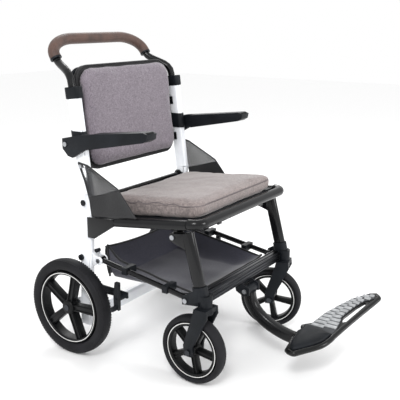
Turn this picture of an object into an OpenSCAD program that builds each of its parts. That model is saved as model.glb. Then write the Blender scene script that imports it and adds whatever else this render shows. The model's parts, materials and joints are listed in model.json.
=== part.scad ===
// Folding transport wheelchair: white rear frame, seat that swings up on a
// parallelogram of rails and links, trailing casters and a central footrest.
// The chair faces -Y, +X is the sitter's left and the floor is z = 0.

/* [Overall] */
// Distance between the centre lines of the two uprights
upright_spacing = 483; // [430:1:580]
// Distance forward from the rear axle to the caster stems
stem_reach = 456; // [420:1:550]
// Height of the knee in the uprights, where the back starts to lean
knee_height = 500; // [480:1:600]
// Height of the top of the uprights
upright_top = 776; // [700:1:940]

/* [Uprights] */
// Front-to-back depth of the oval upright tube
upright_depth = 46; // [40:1:56]
// Side-to-side width of the oval upright tube
upright_width = 24; // [20:1:30]
// Forward lean of the lower part of the uprights, in degrees
lower_lean = 2.9; // [0:0.1:4]
// Rearward lean of the back part of the uprights, in degrees
back_lean = 7.1; // [4:0.1:10]

/* [Rear wheels] */
// Outer radius of a rear wheel
rear_radius = 150; // [125:1:180]
// Width of a rear tyre
rear_width = 44; // [36:1:50]
// Depth of the tyre's section from tread to rim
rear_tyre_depth = 36; // [28:1:40]
// Gap between the upright and the rear wheel
wheel_gap = 10; // [8:1:20]
// Radius of a rear axle
axle_radius = 6; // [5:0.5:8]

/* [Casters] */
// Outer radius of a caster wheel
caster_radius = 101; // [84:1:121]
// Width of a caster tyre
caster_width = 38; // [32:1:42]
// Depth of the caster tyre's section
caster_tyre_depth = 19; // [14:1:24]
// Distance the caster wheel trails behind its stem
trail = 39.4; // [30:0.1:50]
// Radius of the caster stem
stem_radius = 7; // [6:0.5:9]
// Angle at which the left caster rests, in degrees
left_rest_angle = 16; // [0:1:20]

/* [Seat] */
// Length of the seat rails' run from the seat pivot to the leg pivot
link_run = 318; // [300:1:380]
// Drop from the seat pivot to the leg pivot
link_drop = 52; // [40:1:70]
// Diameter of the seat's front tube and side rails
rail_diameter = 29; // [24:1:32]
// Thickness of the seat cushion
cushion_thickness = 46; // [30:1:50]
// Thickness of the seat board under the cushion
board_thickness = 6; // [4:1:10]

/* [Back and arms] */
// Height of the backrest cushion
back_height = 300; // [240:5:380]
// Thickness of the backrest cushion
back_thickness = 37; // [28:1:52]
// Length of an armrest forward of the upright's centre
arm_length = 270; // [220:5:320]
// Width of an armrest
arm_width = 43; // [36:1:46]
// Radius of the push handle's tube
handle_radius = 11.5; // [10:0.5:13]
// Radius over the handle's leather sleeve
grip_radius = 17; // [15:0.5:20]

/* [Footrest] */
// Side of the footrest arm's square tube
arm_tube = 30; // [24:1:36]
// Tilt of the footplate about its hinge line, in degrees
plate_roll = 8.5; // [0:0.5:12]

/* [Hidden] */
$fn = 48;
running = 0.05;
touch = 0.3;
screw_radius = 4;
screw_head = 7;

// Fore-and-aft shift that puts the middle of the chair's length at y = 0
plate_hinge_reach = 169;
plate_set = 29;
plate_depth = 118;
toe_reach = stem_reach + plate_hinge_reach + plate_set + plate_depth;
shift_y = (toe_reach - rear_radius) / 2;

half = upright_spacing / 2;
upright_in = half - upright_width / 2;
upright_out = half + upright_width / 2;
axle_z = rear_radius;
wheel_in = upright_out + wheel_gap;
wheel_mid = wheel_in + rear_width / 2;
wheel_out = wheel_in + rear_width;

// Side outline of the uprights: the knee is where the two leans meet
knee_y = -45;
foot_z = axle_z - 66;
function upright_y(z) = z < knee_height
    ? knee_y + (knee_height - z) * tan(lower_lean)
    : knee_y + (z - knee_height) * tan(back_lean);

// The four pivots of the folding parallelogram, one chair side
stem_x = half - 9;
head_z = 2 * caster_radius + 33;
pivot_a = [-38, 473];
pivot_b = pivot_a + [-link_run, -link_drop];
pivot_d = [-(stem_reach - 56), head_z + 12];
pivot_c = pivot_d - [-link_run, -link_drop];

// Seat: the side rails slope up towards the front
rail_radius = rail_diameter / 2;
rail_plate_out = upright_out + 4;
rail_x = rail_plate_out - rail_radius;
rail_front_y = -(stem_reach - 18);
rail_slope = 7;
function rail_z(y) = 466 + (rail_front_y - y) * tan(rail_slope);
board_rear_y = -78;
front_corner = 30;
board_half = rail_x - rail_radius + 0.2;
seat_link_out = upright_in - 1;
seat_link_in = seat_link_out - 5;
cushion_half = half - 20;

leg_depth = 37;
leg_width = 26;
leg_x = half - 7;
leg_top = [pivot_b[0] - 42, rail_z(pivot_b[0] - 42) - rail_radius - 8];
leg_foot = [-(stem_reach - 9), head_z + 20];
bar_y = -(stem_reach - 19);
bar_z = head_z + 17;

link_x = stem_x;
link_radius = 8;
eye_half = link_radius + 1.5;
eye_radius = 12;

fork_wall = 8;
fork_gap = 4;
fork_half = caster_width / 2 + fork_gap + fork_wall;
caster_hub_half = caster_width / 2 + 1;

hinge_y = -(stem_reach + 6);
hinge_z = head_z - 21;
plate_hinge = [-(stem_reach + plate_hinge_reach), head_z - 127];

shell_thick = 8;
back_bottom = knee_height + 66;
back_half = upright_in - 4;

// ---------- shared shapes ----------

module place() {
    translate([0, shift_y, 0]) children();
}

// Draws the sitter's left side as modelled and the right side mirrored
module on_side(side) {
    if (side == "left") children();
    else mirror([1, 0, 0]) children();
}

module both_sides() {
    on_side("left") children();
    on_side("right") children();
}

// A plate cut to a side-view outline of [y, z] points, between two x values
module side_plate(outline, x0, x1) {
    translate([x0, 0, 0]) rotate([90, 0, 90]) linear_extrude(x1 - x0) polygon(outline);
}

// A round bar along X
module cross_bar(x0, x1, y, z, r) {
    translate([x0, y, z]) rotate([0, 90, 0]) cylinder(h = x1 - x0, r = r);
}

// A round bar between two points
module strut(p, q, r) {
    v = q - p;
    reach = norm(v);
    translate(p) rotate([0, acos(v[2] / reach), atan2(v[1], v[0])]) cylinder(h = reach, r = r);
}

// A straight length of oval tube that leans in the side view
module oval_tube(x, base, top, depth, width) {
    run = top - base;
    translate([x, base[0], base[1]]) rotate([-atan2(run[0], run[1]), 0, 0])
        linear_extrude(norm(run)) oval(depth, width);
}

module oval(depth, width) {
    square([width, depth - width], center = true);
    for (end = [-1, 1]) translate([0, end * (depth - width) / 2]) circle(d = width);
}

function unit(v) = v / norm(v);
function tangent(path, i) = unit(path[min(i + 1, len(path) - 1)] - path[max(i - 1, 0)]);

// A tube swept along a smooth path, with its flat side square to ref
module sweep(path, half_wide, half_high, ref, sides = 16, power = 1) {
    rings = [for (i = [0:len(path) - 1])
        let (t = tangent(path, i), across = unit(cross(t, ref)), up = cross(across, t))
        for (k = [0:sides - 1])
        let (a = 360 * (k + 0.5) / sides, c = cos(a), s = sin(a))
        path[i] + across * half_wide * sign(c) * pow(abs(c), power)
            + up * half_high * sign(s) * pow(abs(s), power)];
    count = len(path);
    walls = [for (i = [0:count - 2]) for (k = [0:sides - 1])
        [i * sides + k, i * sides + (k + 1) % sides,
            (i + 1) * sides + (k + 1) % sides, (i + 1) * sides + k]];
    start = [[for (k = [sides - 1:-1:0]) k]];
    finish = [[for (k = [0:sides - 1]) (count - 1) * sides + k]];
    polyhedron(rings, concat(start, walls, finish), convexity = 6);
}

// A hollow tube along a path, open at both ends
module sleeve(path, outer, inner, ref, sides) {
    count = len(path);
    rings = [for (r = [outer, inner]) for (i = [0:count - 1])
        let (t = tangent(path, i), across = unit(cross(t, ref)), up = cross(across, t))
        for (k = [0:sides - 1])
        path[i] + (across * cos(360 * k / sides) + up * sin(360 * k / sides)) * r];
    function at(wall, i, k) = (wall * count + i) * sides + k % sides;
    walls = [for (i = [0:count - 2]) for (k = [0:sides - 1])
        [at(0, i, k), at(0, i, k + 1), at(0, i + 1, k + 1), at(0, i + 1, k)]];
    bores = [for (i = [0:count - 2]) for (k = [0:sides - 1])
        [at(1, i, k), at(1, i + 1, k), at(1, i + 1, k + 1), at(1, i, k + 1)]];
    start = [for (k = [0:sides - 1]) [at(0, 0, k), at(1, 0, k), at(1, 0, k + 1), at(0, 0, k + 1)]];
    finish = [for (k = [0:sides - 1])
        [at(0, count - 1, k), at(0, count - 1, k + 1), at(1, count - 1, k + 1), at(1, count - 1, k)]];
    polyhedron(rings, concat(walls, bores, start, finish), convexity = 8);
}

// ---------- rear frame ----------

axle_boss = 15;
module uprights() {
    color("white") both_sides() difference() {
        union() {
            oval_tube(half, [upright_y(foot_z), foot_z], [knee_y, knee_height],
                upright_depth, upright_width);
            oval_tube(half, [knee_y, knee_height], [upright_y(upright_top), upright_top],
                upright_depth, upright_width);
            translate([half, knee_y, knee_height]) knee_joint();
            cross_bar(upright_in, upright_out, 0, axle_z, axle_boss);
            side_plate([[0, axle_z - axle_boss], [0, axle_z + axle_boss],
                [upright_y(axle_z), axle_z + axle_boss + 10],
                [upright_y(axle_z), axle_z - axle_boss - 10]], upright_in + 2, upright_out - 2);
        }
        cross_bar(upright_in - 1, upright_out + 1, 0, axle_z, axle_radius);
        cross_bar(upright_in - 1, upright_out + 1, pivot_a[0], pivot_a[1], screw_radius);
    }
}

// The knee is a turned length of the same oval section
module knee_joint() {
    rotate([0, 90, 0]) cylinder(h = upright_width / 2, r = upright_depth / 2, center = true);
}

cross_tube_height = 44;
tube_z = foot_z + cross_tube_height / 2;
module lower_cross_tube() {
    color("white") translate([-upright_in, upright_y(tube_z), tube_z])
        rotate([90, 0, 90]) linear_extrude(2 * upright_in) oval(cross_tube_height, upright_width);
}

cap_height = 34;
module upright_caps() {
    color([0.1, 0.11, 0.12]) both_sides() difference() {
        translate([half, upright_y(upright_top), upright_top]) rotate([-back_lean, 0, 0])
            translate([0, 0, touch / 2]) linear_extrude(cap_height)
            oval(upright_depth + 12, upright_width + 4);
        handle_foot_bore();
    }
}

module handle_foot_bore() {
    translate([half, upright_y(upright_top), upright_top]) rotate([-back_lean, 0, 0])
        translate([0, 4, 8]) cylinder(h = cap_height, r = handle_radius + running);
}

// Push handle: two legs rise from the caps, turn back, and join in a wide bow
bow_low = [upright_y(upright_top) + 95, upright_top + 107];
bow_high = [upright_y(upright_top) + 131, upright_top + 163];
bow_lean = atan2(bow_high[1] - bow_low[1], bow_high[0] - bow_low[0]);
bow_reach = norm(bow_high - bow_low);
bow_half = half - 30;
bow_corner = 56;
// The bends are long ovals: this far in from each side
bow_sweep = 104;

function cap_point(rise) = [half, upright_y(upright_top) + 4 + rise * sin(back_lean),
    upright_top + rise * cos(back_lean)];
function blend_curve(p, q, r, s, t) =
    p * pow(1 - t, 3) + q * 3 * t * pow(1 - t, 2) + r * 3 * t * t * (1 - t) + s * pow(t, 3);
leg_start = cap_point(9);
leg_straight = cap_point(cap_height + 6);
leg_end = [bow_half, bow_low[0], bow_low[1]];
bow_dir = [0, cos(bow_lean), sin(bow_lean)];
leg_path = concat([leg_start], [for (i = [0:8])
    blend_curve(leg_straight, leg_straight + [0, 4, 45], leg_end - bow_dir * 30, leg_end, i / 8)]);

// The bow lies in a plane that leans back: two straight ends, two bends, one bar
function on_bow(x, along) = [x, bow_low[0], bow_low[1]] + bow_dir * along;
bow_straight = bow_reach - bow_corner;
bow_normal = [0, -sin(bow_lean), cos(bow_lean)];
bend_path = [for (a = [0:10:90])
    on_bow(bow_half - bow_sweep * (1 - cos(a)), bow_straight + bow_corner * sin(a))];

module push_handle() {
    half_path = concat(leg_path, bend_path);
    other = [for (i = [len(half_path) - 1:-1:0]) [-half_path[i][0], half_path[i][1], half_path[i][2]]];
    color([0.2, 0.21, 0.22])
        sweep(concat(half_path, other), handle_radius, handle_radius, bow_normal, 20);
}

// Leather sleeve over the bow: a turned middle, and a bent sleeve at each end
grip_ring_length = 5;
grip_bore = handle_radius + 0.1;
module handle_grip() {
    reach = bow_half - bow_sweep;
    color([0.36, 0.25, 0.21]) {
        difference() {
            translate(on_bow(-reach, bow_reach)) rotate([0, 90, 0])
                cylinder(h = 2 * reach, r = grip_radius);
            translate(on_bow(-reach - 1, bow_reach)) rotate([0, 90, 0])
                cylinder(h = 2 * reach + 2, r = grip_bore);
        }
        both_sides() sleeve(concat([on_bow(bow_half, grip_ring_length + touch)], bend_path,
            [on_bow(reach - 1, bow_reach)]), grip_radius - 0.02, grip_bore + 0.4, bow_normal, 20);
    }
}

module grip_end_rings() {
    color([0.05, 0.05, 0.06]) translate([0, bow_low[0], bow_low[1]]) rotate([bow_lean - 90, 0, 0])
        for (flip = [0, 1]) mirror([flip, 0, 0]) difference() {
            translate([bow_half, 0, 0]) cylinder(h = grip_ring_length, r = grip_radius + 0.5);
            translate([bow_half, 0, -1]) cylinder(h = grip_ring_length + 2, r = grip_bore);
        }
}

// Backrest: a shell between the uprights with a cushion on its front
module on_back(rise, forward) {
    translate([0, upright_y(back_bottom), back_bottom]) rotate([-back_lean, 0, 0])
        translate([0, -forward, rise]) children();
}

module back_panel(width_half, height, thick, corner) {
    rotate([90, 0, 0]) linear_extrude(thick) {
        for (x = [-1, 1]) for (z = [corner, height - corner])
            translate([x * (width_half - corner), z]) circle(r = corner);
        translate([-(width_half - corner), 0]) square([2 * (width_half - corner), height]);
        translate([-width_half, corner]) square([2 * width_half, height - 2 * corner]);
    }
}

shell_rear = -30;
module back_shell() {
    color([0.08, 0.08, 0.09]) on_back(0, shell_rear) back_panel(back_half, back_height, shell_thick, 45);
}

module back_cushion() {
    color([0.5, 0.46, 0.48]) on_back(4, shell_rear + shell_thick + touch)
        back_panel(back_half - 10, back_height - 8, back_thickness, 40);
}

bracket_height = 26;
bracket_thick = 4;
module back_brackets() {
    wrap = upright_in - back_half - 0.1;
    color([0.08, 0.08, 0.09]) both_sides() for (rise = [28, back_height / 2])
        on_back(rise, shell_rear) {
            translate([upright_in - 24, 0, 0]) cube([24, bracket_thick, bracket_height]);
            translate([upright_in - wrap, shell_rear, 0])
                cube([wrap, bracket_thick - shell_rear, bracket_height]);
        }
}

// Seat pivot: a tube across the frame that the seat links turn on
pivot_tube_radius = 8;
module seat_pivot_tube() {
    color([0.08, 0.08, 0.09]) difference() {
        cross_bar(-upright_in, upright_in, pivot_a[0], pivot_a[1], pivot_tube_radius);
        for (end = [-1, 1]) translate([end * upright_in, pivot_a[0], pivot_a[1]])
            rotate([0, 90, 0]) cylinder(h = 30, r = screw_radius + running, center = true);
    }
}

plug_radius = 9;
stop_z = pivot_c[1] + 3;
module pivot_plugs() {
    color([0.05, 0.05, 0.06]) both_sides() {
        cross_bar(upright_in - 14, upright_out, pivot_a[0], pivot_a[1], screw_radius);
        cross_bar(upright_out, upright_out + 3, pivot_a[0], pivot_a[1], plug_radius);
        cross_bar(upright_out, upright_out + 7, upright_y(stop_z) + 12, stop_z, plug_radius);
    }
}

// Brackets that carry the lower links in front of the uprights
bracket_wall = 5;
module link_brackets() {
    front = upright_y(pivot_c[1] + 20) - upright_depth / 2 - 0.05;
    color("white") both_sides() difference() {
        union() {
            for (x = [link_x - eye_half - touch - bracket_wall, link_x + eye_half + touch])
            translate([x, 0, 0]) rotate([90, 0, 90]) linear_extrude(bracket_wall) {
                translate([pivot_c[0], pivot_c[1]]) circle(r = 13);
                polygon([[front, pivot_c[1] + 20], [front, pivot_c[1] - 20],
                    [pivot_c[0] + 4, pivot_c[1] - 12], [pivot_c[0] + 4, pivot_c[1] + 12]]);
            }
            translate([link_x - eye_half - touch - bracket_wall, front - bracket_wall, pivot_c[1] - 20])
                cube([2 * (eye_half + touch + bracket_wall), bracket_wall, 40]);
        }
        cross_bar(link_x - 40, link_x + 40, pivot_c[0], pivot_c[1], screw_radius);
    }
}

module link_bracket_screws() {
    outer = link_x + eye_half + touch + bracket_wall;
    color("silver") both_sides() {
        cross_bar(link_x - eye_half - touch - bracket_wall, outer, pivot_c[0], pivot_c[1], screw_radius);
        cross_bar(outer, outer + 3, pivot_c[0], pivot_c[1], screw_head);
    }
}

hub_half = rear_width / 2 - 5;
module rear_axles() {
    color("silver") both_sides() {
        cross_bar(upright_in - 6, wheel_out, 0, axle_z, axle_radius);
        cross_bar(upright_in - 6, upright_in, 0, axle_z, axle_radius + 5);
        cross_bar(upright_out, wheel_mid - hub_half - touch, 0, axle_z, axle_radius + 3);
        cross_bar(wheel_mid + hub_half + touch, wheel_out, 0, axle_z, axle_radius + 3);
    }
}

// Parking brake: a shoe on a lever in front of each rear wheel
brake_pivot = [-(rear_radius + 24), axle_z + 58];
brake_x = wheel_mid - 12;
module brake_mounts() {
    front = upright_y(brake_pivot[1]) - upright_depth / 2;
    arm = upright_in + 4;
    color([0.08, 0.08, 0.09]) both_sides() difference() {
        union() {
            side_plate([[front, brake_pivot[1] + 14], [front, brake_pivot[1] - 14],
                [brake_pivot[0] - 10, brake_pivot[1] - 9], [brake_pivot[0] - 10, brake_pivot[1] + 9]],
                arm, arm + 6);
            cross_bar(arm, brake_x - 6, brake_pivot[0], brake_pivot[1], 9);
        }
        cross_bar(arm - 1, brake_x, brake_pivot[0], brake_pivot[1], screw_radius + running);
    }
}

module brake_lever(side) {
    color([0.06, 0.06, 0.07]) on_side(side) {
        cross_bar(upright_in + 5, brake_x + 10, brake_pivot[0], brake_pivot[1], screw_radius);
        side_plate([[brake_pivot[0] - 9, brake_pivot[1] - 34], [brake_pivot[0] + 9, brake_pivot[1] - 30],
            [brake_pivot[0] + 10, brake_pivot[1] + 8], [brake_pivot[0] + 4, brake_pivot[1] + 52],
            [brake_pivot[0] - 10, brake_pivot[1] + 52]], brake_x - 5, brake_x + 5);
        translate([brake_x - 5, brake_pivot[0] - 4, brake_pivot[1] - 32])
            cube([30, 10, 12]);
    }
}

// ---------- armrests ----------

arm_out = half + 28;
arm_in = arm_out - arm_width;
arm_pivot = [upright_y(646) + upright_depth / 2 + 12, 646];
sleeve_wall = 3;
sleeve_low = 636;
sleeve_high = 684;

module arm_sleeves() {
    color([0.08, 0.08, 0.09]) both_sides() difference() {
        union() {
            intersection() {
                translate([half, knee_y, knee_height]) rotate([-back_lean, 0, 0]) linear_extrude(400)
                    oval(upright_depth + 2 * sleeve_wall, upright_width + 2 * sleeve_wall);
                translate([0, -200, sleeve_low]) cube([half + 60, 400, sleeve_high - sleeve_low]);
            }
            translate([half - 6, arm_pivot[0] - 14, arm_pivot[1] - 9]) cube([12, 14, 18]);
            cross_bar(half - 6, half + 6, arm_pivot[0], arm_pivot[1], 9);
        }
        translate([half, knee_y, knee_height]) rotate([-back_lean, 0, 0])
            linear_extrude(400) oval(upright_depth, upright_width);
        cross_bar(half - 7, half + 7, arm_pivot[0], arm_pivot[1], screw_radius);
    }
}

module arm_pins() {
    color("silver") both_sides() {
        cross_bar(half - 9, arm_out + touch, arm_pivot[0], arm_pivot[1], screw_radius);
        cross_bar(arm_out + touch, arm_out + touch + 3, arm_pivot[0], arm_pivot[1], screw_head);
    }
}

// Side outline of the armrest: deep at the rear, thin at the front tip
arm_tip = upright_y(676) - arm_length;
arm_outline = [[arm_pivot[0] + 12, 632], [arm_pivot[0] + 12, 662], [upright_y(676) - 30, 678],
    [arm_tip + 14, 704], [arm_tip, 699], [arm_tip + 3, 684], [arm_tip + 16, 676],
    [upright_y(676) - 40, 634], [arm_pivot[0] - 26, 608], [arm_pivot[0] - 8, 612]];
// The arm lies outside the upright and swings up beside it as far as this pocket allows
pocket = 44;
module armrest(side) {
    slot_in = half - upright_width / 2 - sleeve_wall - 1.5;
    slot_out = half + upright_width / 2 + sleeve_wall + 1.5;
    color([0.1, 0.11, 0.12]) on_side(side) difference() {
        side_plate(arm_outline, arm_in, arm_out);
        translate([slot_in - 10, upright_y(676) - upright_depth / 2 - pocket, 560])
            cube([slot_out - slot_in + 10, 200, 160]);
        cross_bar(half - 40, half + 40, arm_pivot[0], arm_pivot[1], screw_radius + running);
    }
}

// ---------- seat ----------

rail_rear_y = -54;
module seat_rails() {
    front = rail_front_y + front_corner + rail_radius * sin(rail_slope) + 0.1;
    color([0.1, 0.11, 0.12]) both_sides() {
        strut([rail_x, rail_rear_y - 14, rail_z(rail_rear_y - 14)], [rail_x, front, rail_z(front)],
            rail_radius);
        side_plate([[rail_rear_y, rail_z(rail_rear_y) + 14], [rail_rear_y, rail_z(rail_rear_y) - 48],
            [rail_rear_y - 26, rail_z(rail_rear_y) - 48],
            [rail_rear_y - 100, rail_z(rail_rear_y - 100) - 12],
            [rail_rear_y - 100, rail_z(rail_rear_y - 100) + 10]],
            upright_out + touch, rail_plate_out + 0.5);
    }
}

module seat_front_tube() {
    color([0.1, 0.11, 0.12]) {
        cross_bar(-(rail_x - front_corner), rail_x - front_corner, rail_front_y,
            rail_z(rail_front_y), rail_radius);
        both_sides() translate([rail_x - front_corner, rail_front_y + front_corner, rail_z(rail_front_y)])
            rotate([0, 0, -90]) rotate_extrude(angle = 90) translate([front_corner, 0])
            circle(r = rail_radius);
        both_sides() for (x = [110])
            translate([x, rail_front_y + rail_radius - 6, rail_z(rail_front_y) - rail_radius - 12])
            cube([18, 5, 22]);
    }
}

// Links that carry the seat rails on the pivot tube, inside the uprights
link_eye = 15;
module seat_links() {
    color([0.08, 0.08, 0.09]) both_sides() difference() {
        union() {
            cross_bar(seat_link_in, seat_link_out, pivot_a[0], pivot_a[1], link_eye);
            side_plate([[pivot_a[0] - 4, pivot_a[1] + 13], [pivot_a[0] + 8, pivot_a[1] - 11],
                [-80, rail_z(-80) - 14], [-136, rail_z(-136) - 10], [-136, rail_z(-136) + 10]],
                seat_link_in, seat_link_out);
        }
        cross_bar(seat_link_in - 1, seat_link_out + 1, pivot_a[0], pivot_a[1],
            pivot_tube_radius + running);
    }
}

module sloped(x0, x1, y0, y1, low, high) {
    side_plate([[y0, rail_z(y0) + low], [y1, rail_z(y1) + low],
        [y1, rail_z(y1) + high], [y0, rail_z(y0) + high]], x0, x1);
}

board_front_y = rail_front_y + front_corner;
board_low = 4;
module seat_board() {
    notch = board_rear_y - 60;
    color([0.08, 0.08, 0.09]) {
        sloped(-board_half, board_half, board_front_y, notch, board_low, board_low + board_thickness);
        sloped(-(seat_link_in - 2), seat_link_in - 2,
            notch, board_rear_y, board_low, board_low + board_thickness);
    }
}

cushion_low = board_low + board_thickness + touch;
module seat_cushion() {
    color([0.55, 0.5, 0.5]) {
        corner = 24;
        front = rail_front_y + 6;
        over_tube = rail_radius + 1;
        step_y = rail_front_y + rail_radius + 3;
        intersection() {
            side_plate([[front, rail_z(front) + over_tube], [step_y, rail_z(step_y) + over_tube],
                [step_y, rail_z(step_y) + cushion_low], [board_rear_y, rail_z(board_rear_y) + cushion_low],
                [board_rear_y, rail_z(board_rear_y) + cushion_low + cushion_thickness + 6],
                [front, rail_z(front) + cushion_low + cushion_thickness]], -cushion_half, cushion_half);
            translate([0, 0, 300]) linear_extrude(400) {
                translate([-cushion_half, front + corner])
                    square([2 * cushion_half, board_rear_y - front - corner]);
                translate([-(cushion_half - corner), front])
                    square([2 * (cushion_half - corner), corner + 1]);
                for (x = [-1, 1]) translate([x * (cushion_half - corner), front + corner])
                    circle(r = corner);
            }
        }
    }
}

// Brackets under the front of the seat rails that hold the leg pivots
ear_in = leg_x - leg_width / 2 - 1 - bracket_wall;
module leg_brackets() {
    color([0.08, 0.08, 0.09]) both_sides() difference() {
        union() {
            side_plate([[pivot_b[0] + 22, rail_z(pivot_b[0] + 22) - 6],
                [pivot_b[0] - 22, rail_z(pivot_b[0] - 22) - 6],
                [pivot_b[0] - 11, pivot_b[1] - 9], [pivot_b[0] + 11, pivot_b[1] - 9]],
                ear_in, ear_in + bracket_wall);
            translate([ear_in, pivot_b[0] - 20, rail_z(pivot_b[0]) - 8])
                cube([rail_x - rail_radius - 0.1 - ear_in, 40, 8]);
        }
        cross_bar(ear_in - 1, ear_in + bracket_wall + 1, pivot_b[0], pivot_b[1], screw_radius + running);
    }
}

// ---------- front legs ----------

leg_run = leg_top - leg_foot;
module front_legs() {
    color([0.1, 0.11, 0.12]) both_sides() difference() {
        union() {
            oval_tube(leg_x, leg_foot + unit(leg_run) * 38, leg_top, leg_depth, leg_width);
            side_plate([[pivot_b[0] + 9, pivot_b[1] - 11], [pivot_b[0] + 9, pivot_b[1] + 9],
                [leg_top[0] + 8, leg_top[1] - 2], [leg_top[0] - 2, leg_top[1] - 46]],
                leg_x - leg_width / 2 + 4, leg_x + leg_width / 2);
        }
        cross_bar(leg_x - 30, leg_x + 30, pivot_b[0], pivot_b[1], screw_radius);
    }
}

casting_width = 34;
stem_boss = 19;
bush_wall = 3;
module leg_castings() {
    color([0.08, 0.08, 0.09]) both_sides() difference() {
        union() {
            oval_tube(leg_x, leg_foot + [1, -2], leg_foot + unit(leg_run) * 38,
                leg_depth + 8, casting_width);
            translate([stem_x, -stem_reach, head_z + 2]) cylinder(h = 34, r = stem_boss);
            side_plate([[pivot_d[0] + 10, pivot_d[1] - 12], [pivot_d[0] + 10, pivot_d[1] + 12],
                [leg_foot[0] + 14, leg_foot[1] + 30], [leg_foot[0], leg_foot[1] - 14]],
                link_x + eye_half + touch, leg_x + casting_width / 2);
        }
        cross_bar(link_x - 30, link_x + 40, pivot_d[0], pivot_d[1], screw_radius);
        translate([stem_x, -stem_reach, head_z - 1]) cylinder(h = 33, r = stem_radius + bush_wall);
        oval_tube(leg_x, leg_foot + unit(leg_run) * 38, leg_foot + unit(leg_run) * 70,
            leg_depth + 0.2, leg_width + 0.2);
    }
}

// Bushes that line the castings round the caster stems
module stem_bushes() {
    color([0.5, 0.5, 0.48]) both_sides() translate([stem_x, -stem_reach, head_z + 2]) difference() {
        cylinder(h = 30, r = stem_radius + bush_wall);
        translate([0, 0, -1]) cylinder(h = 32, r = stem_radius + running);
    }
}

// Screws that join the legs to the seat's brackets and to the lower links
module leg_screws() {
    leg_face = leg_x + leg_width / 2;
    casting_face = leg_x + casting_width / 2;
    color("silver") both_sides() {
        cross_bar(ear_in - 3, leg_face, pivot_b[0], pivot_b[1], screw_radius);
        cross_bar(leg_face, leg_face + 3, pivot_b[0], pivot_b[1], screw_head);
        cross_bar(link_x - eye_half, casting_face, pivot_d[0], pivot_d[1], screw_radius);
        cross_bar(casting_face, casting_face + 3, pivot_d[0], pivot_d[1], screw_head);
    }
}

// Fluted aluminium bar across the chair between the two castings
bar_depth = 26;
bar_height = 30;
bar_half = stem_x - stem_boss - 0.1;
module front_cross_bar() {
    groove = 2.5;
    color([0.25, 0.25, 0.26]) translate([-bar_half, 0, 0]) rotate([90, 0, 90])
        linear_extrude(2 * bar_half) difference() {
            translate([bar_y - bar_depth / 2, bar_z - bar_height / 2]) square([bar_depth, bar_height]);
            for (z = [-9, 0, 9]) translate([bar_y - bar_depth / 2, bar_z + z]) circle(r = groove);
            for (y = [-7, 7]) translate([bar_y + y, bar_z + bar_height / 2]) circle(r = groove);
        }
}

// Two cheeks under the bar with the footrest's hinge between them
cheek_x = 32;
cheek_wall = 6;
module footrest_clevis() {
    top = bar_z - bar_height / 2 - 0.1;
    color([0.08, 0.08, 0.09]) difference() {
        union() {
            for (x = [-cheek_x, cheek_x - cheek_wall])
                side_plate([[bar_y + 12, top], [bar_y - 12, top], [hinge_y - 15, hinge_z + 12],
                    [hinge_y - 15, hinge_z - 11], [hinge_y + 6, hinge_z - 15], [bar_y + 4, hinge_z - 4]],
                    x, x + cheek_wall);
            translate([-cheek_x, bar_y - 12, top - 6]) cube([2 * cheek_x, 24, 6]);
        }
        cross_bar(-cheek_x - 1, cheek_x + 1, hinge_y, hinge_z, screw_radius);
    }
}

// ---------- lower links and basket ----------

module lower_links() {
    color([0.15, 0.15, 0.16]) both_sides() difference() {
        union() {
            strut([link_x, pivot_c[0], pivot_c[1]], [link_x, pivot_d[0], pivot_d[1]], link_radius);
            for (p = [pivot_c, pivot_d])
                cross_bar(link_x - eye_half, link_x + eye_half, p[0], p[1], eye_radius);
        }
        for (p = [pivot_c, pivot_d])
            cross_bar(link_x - 20, link_x + 20, p[0], p[1], screw_radius + running);
    }
}

// Basket: an open fabric tray slung between the links
basket_half = stem_x - caster_width / 2 - fork_gap - fork_wall - 5;
basket_depth = 82;
basket_floor = 4;
basket_rise = 27;
// Side outline, rear hem first, inset to make the inside
function basket_profile(inset, lift) = [
    [pivot_c[0] + 19 - inset, pivot_c[1] + basket_rise + lift],
    [pivot_c[0] + 19 - inset, pivot_c[1] - basket_depth + inset],
    [pivot_c[0] - link_run * 0.53, pivot_c[1] - basket_depth - 7 + inset],
    [pivot_c[0] - link_run * 0.75, pivot_c[1] - basket_depth - 3 + inset],
    [pivot_d[0] + 4 + inset, pivot_d[1] - 11 + inset],
    [pivot_d[0] + 4 + inset, pivot_d[1] + 2 + lift],
    [pivot_c[0] - link_run * 0.2, pivot_c[1] - 10 + lift]];
// The sides lean in towards the floor, so the basket passes between the casters
basket_lean = 40;
module basket_hull(inset, lift) {
    low = pivot_c[1] - basket_depth - 8;
    wide = basket_half - inset;
    intersection() {
        side_plate(basket_profile(inset, lift), -basket_half, basket_half);
        translate([0, 200, 0]) rotate([90, 0, 0]) linear_extrude(800)
            polygon([[-wide + basket_lean, low], [wide - basket_lean, low],
                [wide, low + basket_depth * 0.6], [wide, 600],
                [-wide, 600], [-wide, low + basket_depth * 0.6]]);
    }
}

module basket() {
    color([0.22, 0.22, 0.26]) difference() {
        basket_hull(0, 0);
        basket_hull(basket_floor, 60);
    }
}

function on_link(t) = pivot_c + (pivot_d - pivot_c) * t;
module basket_clips() {
    color([0.05, 0.05, 0.06]) both_sides() for (t = [0.3, 0.76]) {
        p = on_link(t);
        difference() {
            translate([basket_half, p[0] - 9, p[1] - 10])
                cube([link_x + link_radius + 3 - basket_half, 18, 21]);
            translate([link_x, p[0], p[1]]) rotate([90 + atan2(link_drop, link_run), 0, 0])
                cylinder(h = 80, r = link_radius + 0.1, center = true);
        }
    }
}

// Hooks on the uprights that hold the basket's rear hem
module basket_hooks() {
    z = pivot_c[1] + 10;
    front = upright_y(z) - upright_depth / 2;
    color([0.05, 0.05, 0.06]) both_sides() {
        cross_bar(half - 20, half - 4, front - 7, z + 16, 6);
        translate([half - 14, front - 7, z + 12]) cube([8, 7, 8]);
    }
}

// ---------- side guards ----------

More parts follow.
